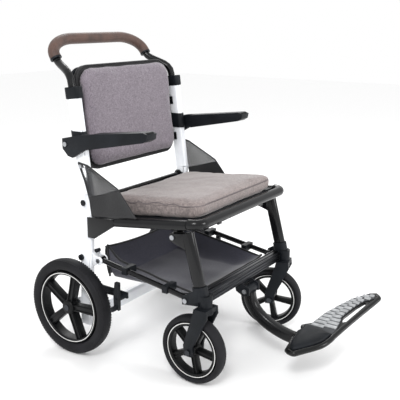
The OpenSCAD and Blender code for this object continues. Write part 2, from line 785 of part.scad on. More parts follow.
// Fabric panel from the upright down to the seat rail
guard_x = upright_out + 0.5;
guard_lift = rail_radius + 1.5;
guard_thick = 2;
module side_guards() {
    apex = [-26, 593];
    color([0.06, 0.06, 0.07]) both_sides()
        side_plate([apex, [-49, 540], [-66, 485], [-72, rail_z(-72) + guard_lift],
            [-236, rail_z(-236) + guard_lift], [-173, 533]], guard_x, guard_x + guard_thick);
}

// ---------- footrest ----------

arm_from = [0, hinge_y, hinge_z];
arm_to = [0, plate_hinge[0] + 13, plate_hinge[1] - arm_tube / 2];
arm_bend = [for (i = [0:10]) blend_curve(arm_from + [0, 0, -6], arm_from + [0, 2, -64],
    arm_to + [0, 92, 12], arm_to, i / 10)];
knuckle = 8;
tongue_half = 9;
module footrest_arm() {
    color([0.16, 0.17, 0.17]) difference() {
        union() {
            sweep(arm_bend, arm_tube / 2 + 3, arm_tube / 2, [1, 0, 0], 12, 0.6);
            cross_bar(-(cheek_x - cheek_wall - 0.5), cheek_x - cheek_wall - 0.5, hinge_y, hinge_z, 13);
            cross_bar(-tongue_half, tongue_half, plate_hinge[0], plate_hinge[1], knuckle);
            translate([-tongue_half, plate_hinge[0], plate_hinge[1] - knuckle])
                cube([2 * tongue_half, 20, 2 * knuckle - 3]);
        }
        cross_bar(-cheek_x, cheek_x, hinge_y, hinge_z, screw_radius + running);
        cross_bar(-tongue_half - 1, tongue_half + 1, plate_hinge[0], plate_hinge[1],
            screw_radius + running);
    }
}

module footrest_pin() {
    color("silver") {
        cross_bar(-cheek_x, cheek_x, hinge_y, hinge_z, screw_radius);
        for (end = [-1, 1]) translate([end * (cheek_x + 1.5), hinge_y, hinge_z])
            rotate([0, 90, 0]) cylinder(h = 3, r = screw_head, center = true);
    }
}

// Footplate: a leaf-shaped plate that hinges on the end of the arm
plate_thick = 8;
plate_lift = 4;
plate_back = plate_hinge[0] - plate_set;
plate_front = plate_back - plate_depth;
module on_plate() {
    translate([0, 0, plate_hinge[1] + plate_lift]) rotate([0, -plate_roll, 0]) children();
}

// Plan outline of the plate, right tip first, in the plate's own plane
plate_outline = [[-104, plate_back + 19], [-112, plate_back - 8], [-96, plate_back - 22],
    [-40, plate_back - 66], [-8, plate_back - 76], [34, plate_back - 81], [262, plate_front],
    [286, plate_front + 3], [300, plate_front + 20], [290, plate_front + 39], [240, plate_back - 46],
    [184, plate_back - 22], [120, plate_back - 1], [58, plate_back + 9], [34, plate_back + 33],
    [-40, plate_back + 28]];
slot_outline = [[96, plate_back - 68], [104, plate_back - 77], [222, plate_front + 24],
    [230, plate_front + 32], [192, plate_back - 74], [120, plate_back - 61]];
lug_width = 7;

module footplate_frame() {
    lug_in = tongue_half + touch;
    color([0.14, 0.15, 0.15]) difference() {
        union() {
            difference() {
                on_plate() linear_extrude(plate_thick) polygon(plate_outline);
                translate([-24, plate_hinge[0] - knuckle - 3, plate_hinge[1] - 20]) cube([48, 80, 60]);
            }
            for (x = [-lug_in - lug_width, lug_in]) {
                cross_bar(x, x + lug_width, plate_hinge[0], plate_hinge[1], knuckle);
                translate([x, plate_hinge[0] - 26, plate_hinge[1] - 6]) cube([lug_width, 26, 14]);
            }
        }
        on_plate() translate([0, 0, -1]) linear_extrude(plate_thick + 2) polygon(slot_outline);
        cross_bar(-40, 40, plate_hinge[0], plate_hinge[1], screw_radius);
    }
}

module footplate_pin() {
    reach = tongue_half + touch + lug_width;
    color("silver") cross_bar(-reach, reach, plate_hinge[0], plate_hinge[1], screw_radius);
}

pad_outline = [[40, plate_back + 8], [22, plate_back - 68], [48, plate_back - 70],
    [92, plate_back - 64], [118, plate_back - 57], [188, plate_back - 69], [232, plate_front + 36],
    [262, plate_front + 13], [284, plate_front + 21], [280, plate_front + 39], [236, plate_back - 46],
    [180, plate_back - 24], [118, plate_back - 4], [62, plate_back + 6]];
pad_thick = 3;
module footplate_pad() {
    color([0.62, 0.63, 0.64]) on_plate() translate([0, 0, plate_thick])
        linear_extrude(pad_thick) polygon(pad_outline);
}

hub_rise = 9;
module footplate_hub() {
    color([0.08, 0.08, 0.09]) on_plate() translate([0, 0, plate_thick])
        linear_extrude(hub_rise) polygon([[-88, plate_back + 10], [-92, plate_back - 8],
            [-34, plate_back - 54], [6, plate_back - 64], [18, plate_back - 60], [34, plate_back + 12],
            [24, plate_back + 18], [-60, plate_back + 14]]);
}

// ---------- casters ----------

module tyre(radius, width, depth) {
    lip = min(width * 0.32, depth / 2);
    rotate([0, 90, 0]) rotate_extrude($fn = 96) {
        translate([radius - lip, 0]) circle(r = lip, $fn = 32);
        translate([radius - depth, -width / 2]) square([depth - lip, width]);
        for (side = [-1, 1]) translate([radius - lip, side * (width / 2 - lip)]) circle(r = lip, $fn = 32);
        translate([radius - lip, -(width / 2 - lip)]) square([lip, width - 2 * lip]);
    }
}

// A five-spoked rim with a hub bored for its bearings
module rim(radius, width, bore, hub_half, hub, spoke) {
    wall = 12;
    difference() {
        union() {
            rotate([0, 90, 0]) {
                rotate_extrude($fn = 96) translate([radius - wall, -width / 2]) square([wall, width]);
                cylinder(h = 2 * hub_half, r = hub, center = true);
            }
            for (k = [0:4]) rotate([k * 72, 0, 0])
                translate([-width * 0.36, -spoke / 2, hub - 3])
                cube([width * 0.72, spoke, radius - wall - hub + 5]);
        }
        rotate([0, 90, 0]) cylinder(h = 2 * hub_half + 10, r = bore, center = true);
    }
}

// Two ring bearings, one at each end of a hub
module bearings(axle, hub_half) {
    thick = 8;
    for (x = [-hub_half, hub_half - thick]) difference() {
        cross_bar(x, x + thick, 0, 0, axle + bearing_wall);
        cross_bar(x - 1, x + thick + 1, 0, 0, axle + running);
    }
}

// Moves a caster's own frame, with its stem at the origin, to one side
module at_caster(side) {
    turn = side == "left" ? left_rest_angle : 0;
    translate([side == "left" ? stem_x : -stem_x, -stem_reach, 0]) rotate([0, 0, turn]) children();
}

caster_axle_radius = 5;
bearing_wall = 5;
module caster_fork(side) {
    crown = head_z - 16;
    color([0.1, 0.11, 0.12]) at_caster(side) difference() {
        union() {
            translate([0, 0, head_z - 18]) cylinder(h = 19.5, r = 21);
            translate([0, 0, head_z]) cylinder(h = 30, r = stem_radius);
            for (x = [-fork_half, fork_half - fork_wall])
                side_plate([[trail - 13, caster_radius - 12], [trail + 13, caster_radius - 12],
                    [trail + 16, caster_radius + 20], [24, crown - 2], [20, head_z], [-20, head_z],
                    [-22, crown - 6], [trail - 16, caster_radius + 18]], x, x + fork_wall);
            translate([-fork_half, -20, head_z - 14]) cube([2 * fork_half, 40, 14]);
        }
        cross_bar(-fork_half - 1, fork_half + 1, trail, caster_radius, caster_axle_radius);
    }
}

module caster_tyre(side) {
    color([0.05, 0.05, 0.06]) at_caster(side) translate([0, trail, caster_radius])
        tyre(caster_radius, caster_width, caster_tyre_depth);
}

module caster_rim(side) {
    color([0.1, 0.1, 0.11]) at_caster(side) translate([0, trail, caster_radius])
        rim(caster_radius - caster_tyre_depth, caster_width - 6, caster_axle_radius + bearing_wall,
            caster_hub_half, 16, 13);
}

module caster_axle(side) {
    color("silver") at_caster(side) {
        cross_bar(-fork_half, fork_half, trail, caster_radius, caster_axle_radius);
        for (x = [-fork_half - 4, fork_half]) cross_bar(x, x + 4, trail, caster_radius, 8);
        for (x = [-fork_half + fork_wall, caster_hub_half + touch])
            cross_bar(x, x + fork_half - fork_wall - caster_hub_half - touch, trail, caster_radius, 8);
    }
}

module caster_bearings(side) {
    color([0.7, 0.7, 0.72]) at_caster(side) translate([0, trail, caster_radius])
        bearings(caster_axle_radius, caster_hub_half);
}

// ---------- rear wheels ----------

module rear_tyre(side) {
    color([0.05, 0.05, 0.06]) on_side(side) translate([wheel_mid, 0, axle_z])
        tyre(rear_radius, rear_width, rear_tyre_depth);
}

module rear_rim(side) {
    color([0.1, 0.1, 0.11]) on_side(side) translate([wheel_mid, 0, axle_z])
        rim(rear_radius - rear_tyre_depth, rear_width - 8, axle_radius + bearing_wall, hub_half, 20, 18);
}

module rear_bearings(side) {
    color([0.7, 0.7, 0.72]) on_side(side) translate([wheel_mid, 0, axle_z]) bearings(axle_radius, hub_half);
}

place() {
    uprights();
    lower_cross_tube();
    upright_caps();
    push_handle();
    handle_grip();
    grip_end_rings();
    back_shell();
    back_cushion();
    back_brackets();
    seat_pivot_tube();
    pivot_plugs();
    link_brackets();
    link_bracket_screws();
    rear_axles();
    brake_mounts();
    brake_lever("right");  // brake_lever_right
    brake_lever("left");  // brake_lever_left
    arm_sleeves();
    arm_pins();
    armrest("right");  // armrest_right
    armrest("left");  // armrest_left
    basket_hooks();
    seat_rails();
    seat_front_tube();
    seat_links();
    seat_board();
    seat_cushion();
    leg_brackets();
    side_guards();
    front_legs();
    leg_castings();
    stem_bushes();
    leg_screws();
    front_cross_bar();
    footrest_clevis();
    footrest_pin();
    lower_links();
    basket();
    basket_clips();
    footrest_arm();
    footplate_frame();
    footplate_pad();
    footplate_hub();
    footplate_pin();
    caster_fork("right");  // caster_fork_right
    caster_fork("left");  // caster_fork_left
    caster_axle("right");  // caster_axle_right
    caster_axle("left");  // caster_axle_left
    caster_tyre("right");  // caster_tyre_right
    caster_tyre("left");  // caster_tyre_left
    caster_rim("right");  // caster_rim_right
    caster_rim("left");  // caster_rim_left
    caster_bearings("right");  // caster_bearings_right
    caster_bearings("left");  // caster_bearings_left
    rear_tyre("right");  // rear_tyre_right
    rear_tyre("left");  // rear_tyre_left
    rear_rim("right");  // rear_rim_right
    rear_rim("left");  // rear_rim_left
    rear_bearings("right");  // rear_bearings_right
    rear_bearings("left");  // rear_bearings_left
}
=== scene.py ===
"""A folding transport wheelchair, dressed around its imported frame.

Lengths are in metres. The chair faces -Y, +X is the sitter's left, and the floor is z = 0.
"""

import json
import math

import bmesh
import bpy
from mathutils import Matrix, Vector, kdtree, noise
from mathutils.bvhtree import BVHTree

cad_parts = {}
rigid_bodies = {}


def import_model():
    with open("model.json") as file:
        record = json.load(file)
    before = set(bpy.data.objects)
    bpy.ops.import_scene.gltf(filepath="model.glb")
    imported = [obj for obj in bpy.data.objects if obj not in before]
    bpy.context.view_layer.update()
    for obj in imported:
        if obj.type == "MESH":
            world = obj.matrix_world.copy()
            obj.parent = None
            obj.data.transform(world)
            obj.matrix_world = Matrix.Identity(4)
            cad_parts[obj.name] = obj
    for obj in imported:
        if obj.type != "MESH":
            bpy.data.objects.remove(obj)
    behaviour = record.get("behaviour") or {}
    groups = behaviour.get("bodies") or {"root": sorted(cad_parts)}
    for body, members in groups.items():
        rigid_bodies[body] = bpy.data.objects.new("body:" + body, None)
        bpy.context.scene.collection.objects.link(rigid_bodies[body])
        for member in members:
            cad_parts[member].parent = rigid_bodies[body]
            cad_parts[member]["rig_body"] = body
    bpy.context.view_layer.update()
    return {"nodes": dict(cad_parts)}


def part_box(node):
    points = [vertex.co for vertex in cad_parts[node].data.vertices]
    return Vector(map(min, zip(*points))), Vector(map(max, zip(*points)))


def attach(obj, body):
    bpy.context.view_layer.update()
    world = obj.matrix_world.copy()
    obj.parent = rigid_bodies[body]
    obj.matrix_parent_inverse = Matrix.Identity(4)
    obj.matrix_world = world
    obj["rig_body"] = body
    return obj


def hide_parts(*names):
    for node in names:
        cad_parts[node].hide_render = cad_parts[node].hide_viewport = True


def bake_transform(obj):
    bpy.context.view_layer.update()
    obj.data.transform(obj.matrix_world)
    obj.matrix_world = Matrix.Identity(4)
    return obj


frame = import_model()
nodes = frame["nodes"]
scene = bpy.context.scene

# ---------------------------------------------------------------------------
# Camera. It stands ahead of the chair and to its right, looking down a little.
# ---------------------------------------------------------------------------

CAMERA_PLACE = (-1.707, -1.1134, 1.0011)
CAMERA_TURN = -56.2
CAMERA_DIP = 14.7
CAMERA_LENS = 62.6

camera_data = bpy.data.cameras.new("camera")
camera_data.lens = CAMERA_LENS
camera_data.sensor_width = 36
camera = bpy.data.objects.new("camera", camera_data)
camera.location = CAMERA_PLACE
camera.rotation_euler = (math.radians(90 - CAMERA_DIP), 0, math.radians(CAMERA_TURN))
scene.collection.objects.link(camera)
scene.camera = camera


# ---------------------------------------------------------------------------
# Powder-coated frame. The uprights and the cross tube are oval alloy tube in
# satin white, and the seat frame and legs are satin black. Brackets are screwed
# on, and tube ends and brackets have their edges broken.
# ---------------------------------------------------------------------------

def linear(red, green, blue):
    """A colour given as 0 to 255, as the shader wants it."""
    return tuple(((c / 255 + 0.055) / 1.055) ** 2.4 if c > 10 else c / 255 / 12.92
                 for c in (red, green, blue)) + (1,)


def new_material(name):
    """A material with its shader, and the tree to add to."""
    material = bpy.data.materials.new(name)
    material.use_nodes = True
    tree = material.node_tree
    return material, tree, tree.nodes["Principled BSDF"]


def noise_in(tree, scale, detail=4, stretch=(1, 1, 1)):
    """Noise in the piece's own space, stretched along its axes."""
    place = tree.nodes.new("ShaderNodeTexCoord")
    mapping = tree.nodes.new("ShaderNodeMapping")
    mapping.inputs["Scale"].default_value = stretch
    texture = tree.nodes.new("ShaderNodeTexNoise")
    texture.inputs["Scale"].default_value = scale
    texture.inputs["Detail"].default_value = detail
    tree.links.new(place.outputs["Object"], mapping.inputs["Vector"])
    tree.links.new(mapping.outputs["Vector"], texture.inputs["Vector"])
    return texture.outputs["Fac"]


def ramp(tree, value, low, high, dark, light):
    """Two colours, blended as value goes from low to high."""
    blend = tree.nodes.new("ShaderNodeValToRGB")
    blend.color_ramp.elements[0].position = low
    blend.color_ramp.elements[1].position = high
    blend.color_ramp.elements[0].color = dark
    blend.color_ramp.elements[1].color = light
    tree.links.new(value, blend.inputs["Fac"])
    return blend.outputs["Color"]


def coloured(tree, shader, value, low, high, dark, light):
    """A base colour that goes from dark to light as value goes from low to high."""
    blend = ramp(tree, value, low, high, linear(*dark), linear(*light))
    tree.links.new(blend, shader.inputs["Base Color"])


def rough_between(tree, shader, value, low, high):
    """Roughness that follows value, as handling and wear leave it."""
    span = tree.nodes.new("ShaderNodeMapRange")
    span.inputs["To Min"].default_value = low
    span.inputs["To Max"].default_value = high
    tree.links.new(value, span.inputs["Value"])
    tree.links.new(span.outputs["Result"], shader.inputs["Roughness"])


def bumped(tree, shader, value, height, strength=1.0):
    """A bump of that height, in metres, from value."""
    bump = tree.nodes.new("ShaderNodeBump")
    bump.inputs["Distance"].default_value = height
    bump.inputs["Strength"].default_value = strength
    tree.links.new(value, bump.inputs["Height"])
    tree.links.new(bump.outputs["Normal"], shader.inputs["Normal"])


def coated(name, dark, light, grain, height, low, high, metal=0.0, coat=0.0, shine=0.5):
    """Paint, plastic or metal: a faint mottle, a fine grain and uneven gloss."""
    material, tree, shader = new_material(name)
    cloud = noise_in(tree, 14)
    coloured(tree, shader, cloud, 0.35, 0.7, dark, light)
    rough_between(tree, shader, noise_in(tree, 45, 6), low, high)
    bumped(tree, shader, noise_in(tree, grain, 3), height)
    shader.inputs["Metallic"].default_value = metal
    shader.inputs["Specular IOR Level"].default_value = shine
    shader.inputs["Coat Weight"].default_value = coat
    shader.inputs["Coat Roughness"].default_value = 0.25
    return material


white_coat = coated("white_coat", (232, 235, 240), (244, 246, 249), 900, 0.00012, 0.28, 0.4, coat=0.3)
black_coat = coated("black_coat", (9, 9, 11), (15, 16, 18), 1100, 0.00006, 0.16, 0.26, shine=0.3)

BEVEL_STEPS = 3
MERGE_WITHIN = 0.00001
FLAT_WITHIN = math.radians(0.8)


def new_piece(name, mesh, material):
    """An object for a mesh, in its material."""
    piece = bpy.data.objects.new(name, mesh)
    scene.collection.objects.link(piece)
    mesh.materials.clear()
    mesh.materials.append(material)
    return piece


def applied(piece):
    """Turns a piece's modifiers into its mesh."""
    graph = bpy.context.evaluated_depsgraph_get()
    mesh = bpy.data.meshes.new_from_object(piece.evaluated_get(graph))
    piece.modifiers.clear()
    old = piece.data
    piece.data = mesh
    bpy.data.meshes.remove(old)
    return piece


def bevelled(piece, width, steps, degrees):
    """Rounds the edges whose faces meet at more than that angle."""
    bevel = piece.modifiers.new("edge", "BEVEL")
    bevel.width = width
    bevel.segments = steps
    bevel.limit_method = "ANGLE"
    bevel.angle_limit = math.radians(degrees)
    return applied(piece)


def shaded_smooth(piece, degrees):
    """Smooths faces that meet at less than that angle."""
    for polygon in piece.data.polygons:
        polygon.use_smooth = True
    piece.data.set_sharp_from_angle(angle=math.radians(degrees))


def fitted(piece, body, degrees=38):
    """Smooths a finished piece and puts it on its body."""
    shaded_smooth(piece, degrees)
    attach(piece, body)
    return piece


def eased(node, material, edge, degrees=32):
    """A copy of a frame part with its edges broken, as a casting or a cut tube has."""
    shape = bmesh.new()
    shape.from_mesh(nodes[node].data)
    bmesh.ops.remove_doubles(shape, verts=shape.verts, dist=MERGE_WITHIN)
    bmesh.ops.dissolve_limit(shape, angle_limit=FLAT_WITHIN, verts=shape.verts, edges=shape.edges)
    mesh = bpy.data.meshes.new(node + "_eased")
    shape.to_mesh(mesh)
    shape.free()
    piece = bevelled(new_piece(node + "_eased", mesh, material), edge, BEVEL_STEPS, degrees)
    fitted(piece, nodes[node]["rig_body"])
    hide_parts(node)
    return piece


def painted(node, material):
    """Gives a frame part its finish as it stands."""
    nodes[node].data.materials.clear()
    nodes[node].data.materials.append(material)


for node in ("uprights", "lower_cross_tube", "link_brackets"):
    eased(node, white_coat, 0.0012)
for node in ("seat_rails", "seat_links", "leg_brackets", "front_legs", "back_brackets"):
    eased(node, black_coat, 0.0012)
for node in ("seat_front_tube", "push_handle", "seat_pivot_tube", "lower_links"):
    painted(node, black_coat)


# ---------------------------------------------------------------------------
# Moulded parts. Caps, sleeves, castings, forks, clips and brake parts are glass
# filled nylon in slate black, with a fine spark-eroded grain.
# ---------------------------------------------------------------------------

moulded = coated("moulded_nylon", (15, 18, 22), (24, 27, 32), 1500, 0.0002, 0.38, 0.54, shine=0.18)

for node, edge in (("upright_caps", 0.003), ("back_shell", 0.002), ("brake_mounts", 0.001),
                   ("brake_lever_right", 0.002), ("brake_lever_left", 0.002), ("arm_sleeves", 0.001),
                   ("leg_castings", 0.003), ("footrest_clevis", 0.0015), ("basket_clips", 0.002),
                   ("basket_hooks", 0.001), ("caster_fork_right", 0.0028), ("caster_fork_left", 0.0028),
                   ("armrest_right", 0.004), ("armrest_left", 0.004)):
    eased(node, moulded, edge)
for node in ("pivot_plugs", "grip_end_rings", "seat_board"):
    painted(node, moulded)


# ---------------------------------------------------------------------------
# Screws, pins, axles, bearings and bushes. The metal is zinc plated and turned
# steel, and the caster stems' bushes are pressed-in natural nylon.
# ---------------------------------------------------------------------------

steel = coated("zinc_steel", (150, 152, 156), (186, 188, 192), 600, 0.00004, 0.24, 0.42, metal=1.0)
dark_steel = coated("dark_steel", (60, 62, 66), (88, 90, 94), 600, 0.00004, 0.3, 0.46, metal=1.0)

for node in ("link_bracket_screws", "arm_pins", "leg_screws", "footrest_pin", "footplate_pin",
             "rear_bearings_right", "rear_bearings_left", "caster_bearings_right",
             "caster_bearings_left"):
    painted(node, steel)
for node in ("rear_axles", "caster_axle_right", "caster_axle_left"):
    painted(node, dark_steel)

natural_nylon = coated("natural_nylon", (176, 174, 164), (196, 194, 184), 900, 0.0001, 0.4, 0.55)
painted("stem_bushes", natural_nylon)


# ---------------------------------------------------------------------------
# Front cross bar. A fluted aluminium extrusion, dark anodised and brushed
# along its length, so its flutes catch long highlights.
# ---------------------------------------------------------------------------

def brushed_bar():
    """Dark anodised aluminium with its brushing along X."""
    material, tree, shader = new_material("anodised_bar")
    streak = noise_in(tree, 260, 3, (0.04, 1, 1))
    coloured(tree, shader, streak, 0.3, 0.7, (34, 35, 38), (74, 75, 79))
    rough_between(tree, shader, streak, 0.22, 0.4)
    bumped(tree, shader, streak, 0.00006)
    shader.inputs["Metallic"].default_value = 1
    shader.inputs["Anisotropic"].default_value = 0.5
    return material


eased("front_cross_bar", brushed_bar(), 0.0012)


# ---------------------------------------------------------------------------
# Handle grip. Brown leather is wrapped round the bow of the push handle and
# closed with a butted, stitched seam on the side away from the sitter.
# ---------------------------------------------------------------------------

def squared(angle, across_power, up_power):
    """A point of a unit circle, squared off where the powers are under 1."""
    c, s = math.cos(angle), math.sin(angle)
    return math.copysign(abs(c) ** across_power, c), math.copysign(abs(s) ** up_power, s)


def tube_faces(rows, sides, closed=False):
    """Faces of a tube drawn as rows of points, with its ends capped unless it is closed."""
    faces = [] if closed else [tuple(range(sides))[::-1]]
    for i in range(rows if closed else rows - 1):
        for k in range(sides):
            j, m = (i + 1) % rows, (k + 1) % sides
            faces.append((i * sides + k, i * sides + m, j * sides + m, j * sides + k))
    if not closed:
        faces.append(tuple(range((rows - 1) * sides, rows * sides)))
    return faces


def solid_mesh(name, vertices, faces):
    """A closed mesh whose faces all point outwards."""
    mesh = bpy.data.meshes.new(name)
    mesh.from_pydata([tuple(v) for v in vertices], [], faces)
    shape = bmesh.new()
    shape.from_mesh(mesh)
    bmesh.ops.recalc_face_normals(shape, faces=shape.faces)
    shape.to_mesh(mesh)
    shape.free()
    return mesh


def swept(name, path, wide, high, up, sides=20, power=1.0, closed=False):
    """A solid tube along path. wide is across, high is along up, power under 1 squares it."""
    count = len(path)
    vertices = []
    for i, point in enumerate(path):
        before = path[(i - 1) % count] if closed else path[max(i - 1, 0)]
        after = path[(i + 1) % count] if closed else path[min(i + 1, count - 1)]
        ahead = (after - before).normalized()
        across = ahead.cross(Vector(up)).normalized()
        rise = across.cross(ahead)
        for k in range(sides):
            u, v = squared(2 * math.pi * (k + 0.5) / sides, power, power)
            vertices.append(point + across * wide * u + rise * high * v)
    return solid_mesh(name, vertices, tube_faces(count, sides, closed))


STITCH_PITCH = 0.0042
STITCH_LENGTH = 0.0031
STITCH_RADIUS = 0.00042
STITCH_SIDES = 6


def sized_tree(name, sizes, counts=()):
    """A geometry tree whose sizes and counts are named inputs."""
    tree = bpy.data.node_groups.new(name, "GeometryNodeTree")
    tree.interface.new_socket("Geometry", in_out="INPUT", socket_type="NodeSocketGeometry")
    for size in sizes:
        tree.interface.new_socket(size, in_out="INPUT", socket_type="NodeSocketFloat")
    for count in counts:
        tree.interface.new_socket(count, in_out="INPUT", socket_type="NodeSocketInt")
    tree.interface.new_socket("Geometry", in_out="OUTPUT", socket_type="NodeSocketGeometry")
    return tree


def sent_out(tree, instances, material):
    """Makes the instances real, sets their material and sends them out of the tree."""
    realize = tree.nodes.new("GeometryNodeRealizeInstances")
    paint = tree.nodes.new("GeometryNodeSetMaterial")
    paint.inputs["Material"].default_value = material
    end = tree.nodes.new("NodeGroupOutput")
    tree.links.new(instances, realize.inputs["Geometry"])
    tree.links.new(realize.outputs["Geometry"], paint.inputs["Geometry"])
    tree.links.new(paint.outputs["Geometry"], end.inputs["Geometry"])


def stitch_tree(material):
    """Short stitches, set end to end along the edges of a mesh."""
    tree = sized_tree("stitch_run", ("Pitch", "Length", "Radius"))
    make = tree.nodes.new
    link = tree.links.new
    start = make("NodeGroupInput")
    to_curve = make("GeometryNodeMeshToCurve")
    resample = make("GeometryNodeResampleCurve")
    resample.mode = "LENGTH"
    tangent = make("GeometryNodeInputTangent")
    align = make("FunctionNodeAlignRotationToVector")
    align.axis = "Z"
    stitch = make("GeometryNodeMeshCylinder")
    stitch.inputs["Vertices"].default_value = STITCH_SIDES
    place = make("GeometryNodeInstanceOnPoints")
    link(start.outputs["Geometry"], to_curve.inputs["Mesh"])
    link(to_curve.outputs["Curve"], resample.inputs["Curve"])
    link(start.outputs["Pitch"], resample.inputs["Length"])
    link(start.outputs["Radius"], stitch.inputs["Radius"])
    link(start.outputs["Length"], stitch.inputs["Depth"])
    link(tangent.outputs["Tangent"], align.inputs["Vector"])
    link(resample.outputs["Curve"], place.inputs["Points"])
    link(stitch.outputs["Mesh"], place.inputs["Instance"])
    link(align.outputs["Rotation"], place.inputs["Rotation"])
    sent_out(tree, place.outputs["Instances"], material)
    return tree


def run_tree(piece, tree, sizes):
    """Puts a tree on a piece with its sizes, and turns the result into its mesh."""
    modifier = piece.modifiers.new("run", "NODES")
    modifier.node_group = tree
    for item in tree.interface.items_tree:
        if item.item_type == "SOCKET" and item.in_out == "INPUT" and item.name in sizes:
            modifier[item.identifier] = sizes[item.name]
    return applied(piece)


def spun(name, dark, light, scale, rough, sheen=0.0, stretch=(1, 1, 1), height=0.0, strength=1.0):
    """Thread, cord or plain cloth: yarns of two shades, with the relief and nap given."""
    material, tree, shader = new_material(name)
    yarns = noise_in(tree, scale, 2, stretch)
    coloured(tree, shader, yarns, 0.3, 0.7, dark, light)
    if height:
        bumped(tree, shader, yarns, height, strength)
    shader.inputs["Roughness"].default_value = rough
    shader.inputs["Sheen Weight"].default_value = sheen
    return material


thread = spun("waxed_thread", (34, 32, 34), (62, 58, 60), 2500, 0.7)
stitches = stitch_tree(thread)


def stitched(name, run, body):
    """Stitches along a run of points."""
    mesh = bpy.data.meshes.new(name)
    mesh.from_pydata([tuple(p) for p in run], [(i, i + 1) for i in range(len(run) - 1)], [])
    sizes = {"Pitch": STITCH_PITCH, "Length": STITCH_LENGTH, "Radius": STITCH_RADIUS}
    fitted(run_tree(new_piece(name, mesh, thread), stitches, sizes), body, 60)


GRIP_RADIUS = 0.017
GRIP_CORNER = 0.056
GRIP_SWEEP = 0.104
RING_LENGTH = 0.0053
GRIP_STEPS = 12
GRIP_SIDES = 28
SEAM_LIFT = 0.0001

ring_low, ring_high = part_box("grip_end_rings")
grip_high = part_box("handle_grip")[1]
bow_half = grip_high.x - GRIP_RADIUS


def leather():
    """Matt brown leather with pores and a paler mottle."""
    material, tree, shader = new_material("brown_leather")
    cloud = noise_in(tree, 30, 6)
    coloured(tree, shader, cloud, 0.3, 0.72, (60, 42, 36), (92, 66, 56))
    cells = tree.nodes.new("ShaderNodeTexVoronoi")
    cells.inputs["Scale"].default_value = 900
    place = tree.nodes.new("ShaderNodeTexCoord")
    tree.links.new(place.outputs["Object"], cells.inputs["Vector"])
    bumped(tree, shader, cells.outputs["Distance"], 0.0003, 0.8)
    rough_between(tree, shader, cloud, 0.5, 0.68)
    shader.inputs["Sheen Weight"].default_value = 0.1
    return material


bar_point = Vector((0, grip_high.y - GRIP_RADIUS, grip_high.z - GRIP_RADIUS))
ring_centre = Vector((0, (ring_low.y + ring_high.y) / 2, (ring_low.z + ring_high.z) / 2))
bow_ahead = (bar_point - ring_centre).normalized()
bow_reach = (bar_point - ring_centre).length


def on_bow(x, along):
    """A point in the plane of the bow, from the centre of the end rings."""
    return ring_centre + Vector((x, 0, 0)) + bow_ahead * along


bow_bend = [on_bow(bow_half - GRIP_SWEEP * (1 - math.cos(a)),
                   bow_reach - GRIP_CORNER + GRIP_CORNER * math.sin(a))
            for a in (math.pi / 2 * k / GRIP_STEPS for k in range(GRIP_STEPS + 1))]
grip_half_path = [on_bow(bow_half, RING_LENGTH / 2)] + bow_bend
grip_path = grip_half_path + [bar_point] + [Vector((-p.x, p.y, p.z)) for p in reversed(grip_half_path)]
bow_normal = Vector((1, 0, 0)).cross(bow_ahead)
grip_mesh = swept("leather_grip", grip_path, GRIP_RADIUS, GRIP_RADIUS, bow_normal, GRIP_SIDES)
grip = fitted(new_piece("leather_grip", grip_mesh, leather()), "rear_frame")
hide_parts("handle_grip")
seam_path = [p - bow_normal * (GRIP_RADIUS + SEAM_LIFT) for p in grip_path]
stitched("grip_stitches", seam_path, "rear_frame")


# ---------------------------------------------------------------------------
# Wheels. Solid polyurethane tyres sit on moulded five-spoke rims, with a thin
# white line painted round the edge of each rim on both sides.
# ---------------------------------------------------------------------------

def rubber():
    """Matt tyre compound with dusty patches."""
    material, tree, shader = new_material("tyre_rubber")
    cloud = noise_in(tree, 24, 7)
    coloured(tree, shader, cloud, 0.3, 0.75, (13, 13, 16), (29, 29, 33))
    rough_between(tree, shader, cloud, 0.55, 0.78)
    bumped(tree, shader, noise_in(tree, 1400, 3), 0.0002)
    shader.inputs["Specular IOR Level"].default_value = 0.22
    return material


tyre_rubber = rubber()
rim_nylon = coated("rim_nylon", (8, 9, 10), (16, 17, 19), 1500, 0.0002, 0.3, 0.46, shine=0.18)
stripe_white = coated("stripe_white", (214, 214, 212), (232, 232, 230), 700, 0.00004, 0.4, 0.5)

TYRE_SECTION = 36
TURNS = 120
SQUARENESS = 2.35


def rounded_section(half_width, middle, half_height, steps=TYRE_SECTION, square=SQUARENESS):
    """A squarish oval of (across, radius) points."""
    points = []
    for k in range(steps):
        u, v = squared(2 * math.pi * k / steps, 2 / square, 2 / square)
        points.append((half_width * u, middle + half_height * v))
    return points


def rings_into(shape, section, turns=TURNS):
    """Adds a closed section of (across, radius) points, turned round the X axis."""
    count = len(section)
    made = [shape.verts.new((x, r * math.sin(2 * math.pi * i / turns), r * math.cos(2 * math.pi * i / turns)))
            for i in range(turns) for x, r in section]
    for i in range(turns):
        j = (i + 1) % turns
        for k in range(count):
            m = (k + 1) % count
            shape.faces.new([made[n] for n in (i * count + k, i * count + m, j * count + m, j * count + k)])


def formed(name, shape):
    """Turns a shape into a mesh whose faces point outwards."""
    bmesh.ops.recalc_face_normals(shape, faces=shape.faces)
    mesh = bpy.data.meshes.new(name)
    shape.to_mesh(mesh)
    shape.free()
    return mesh


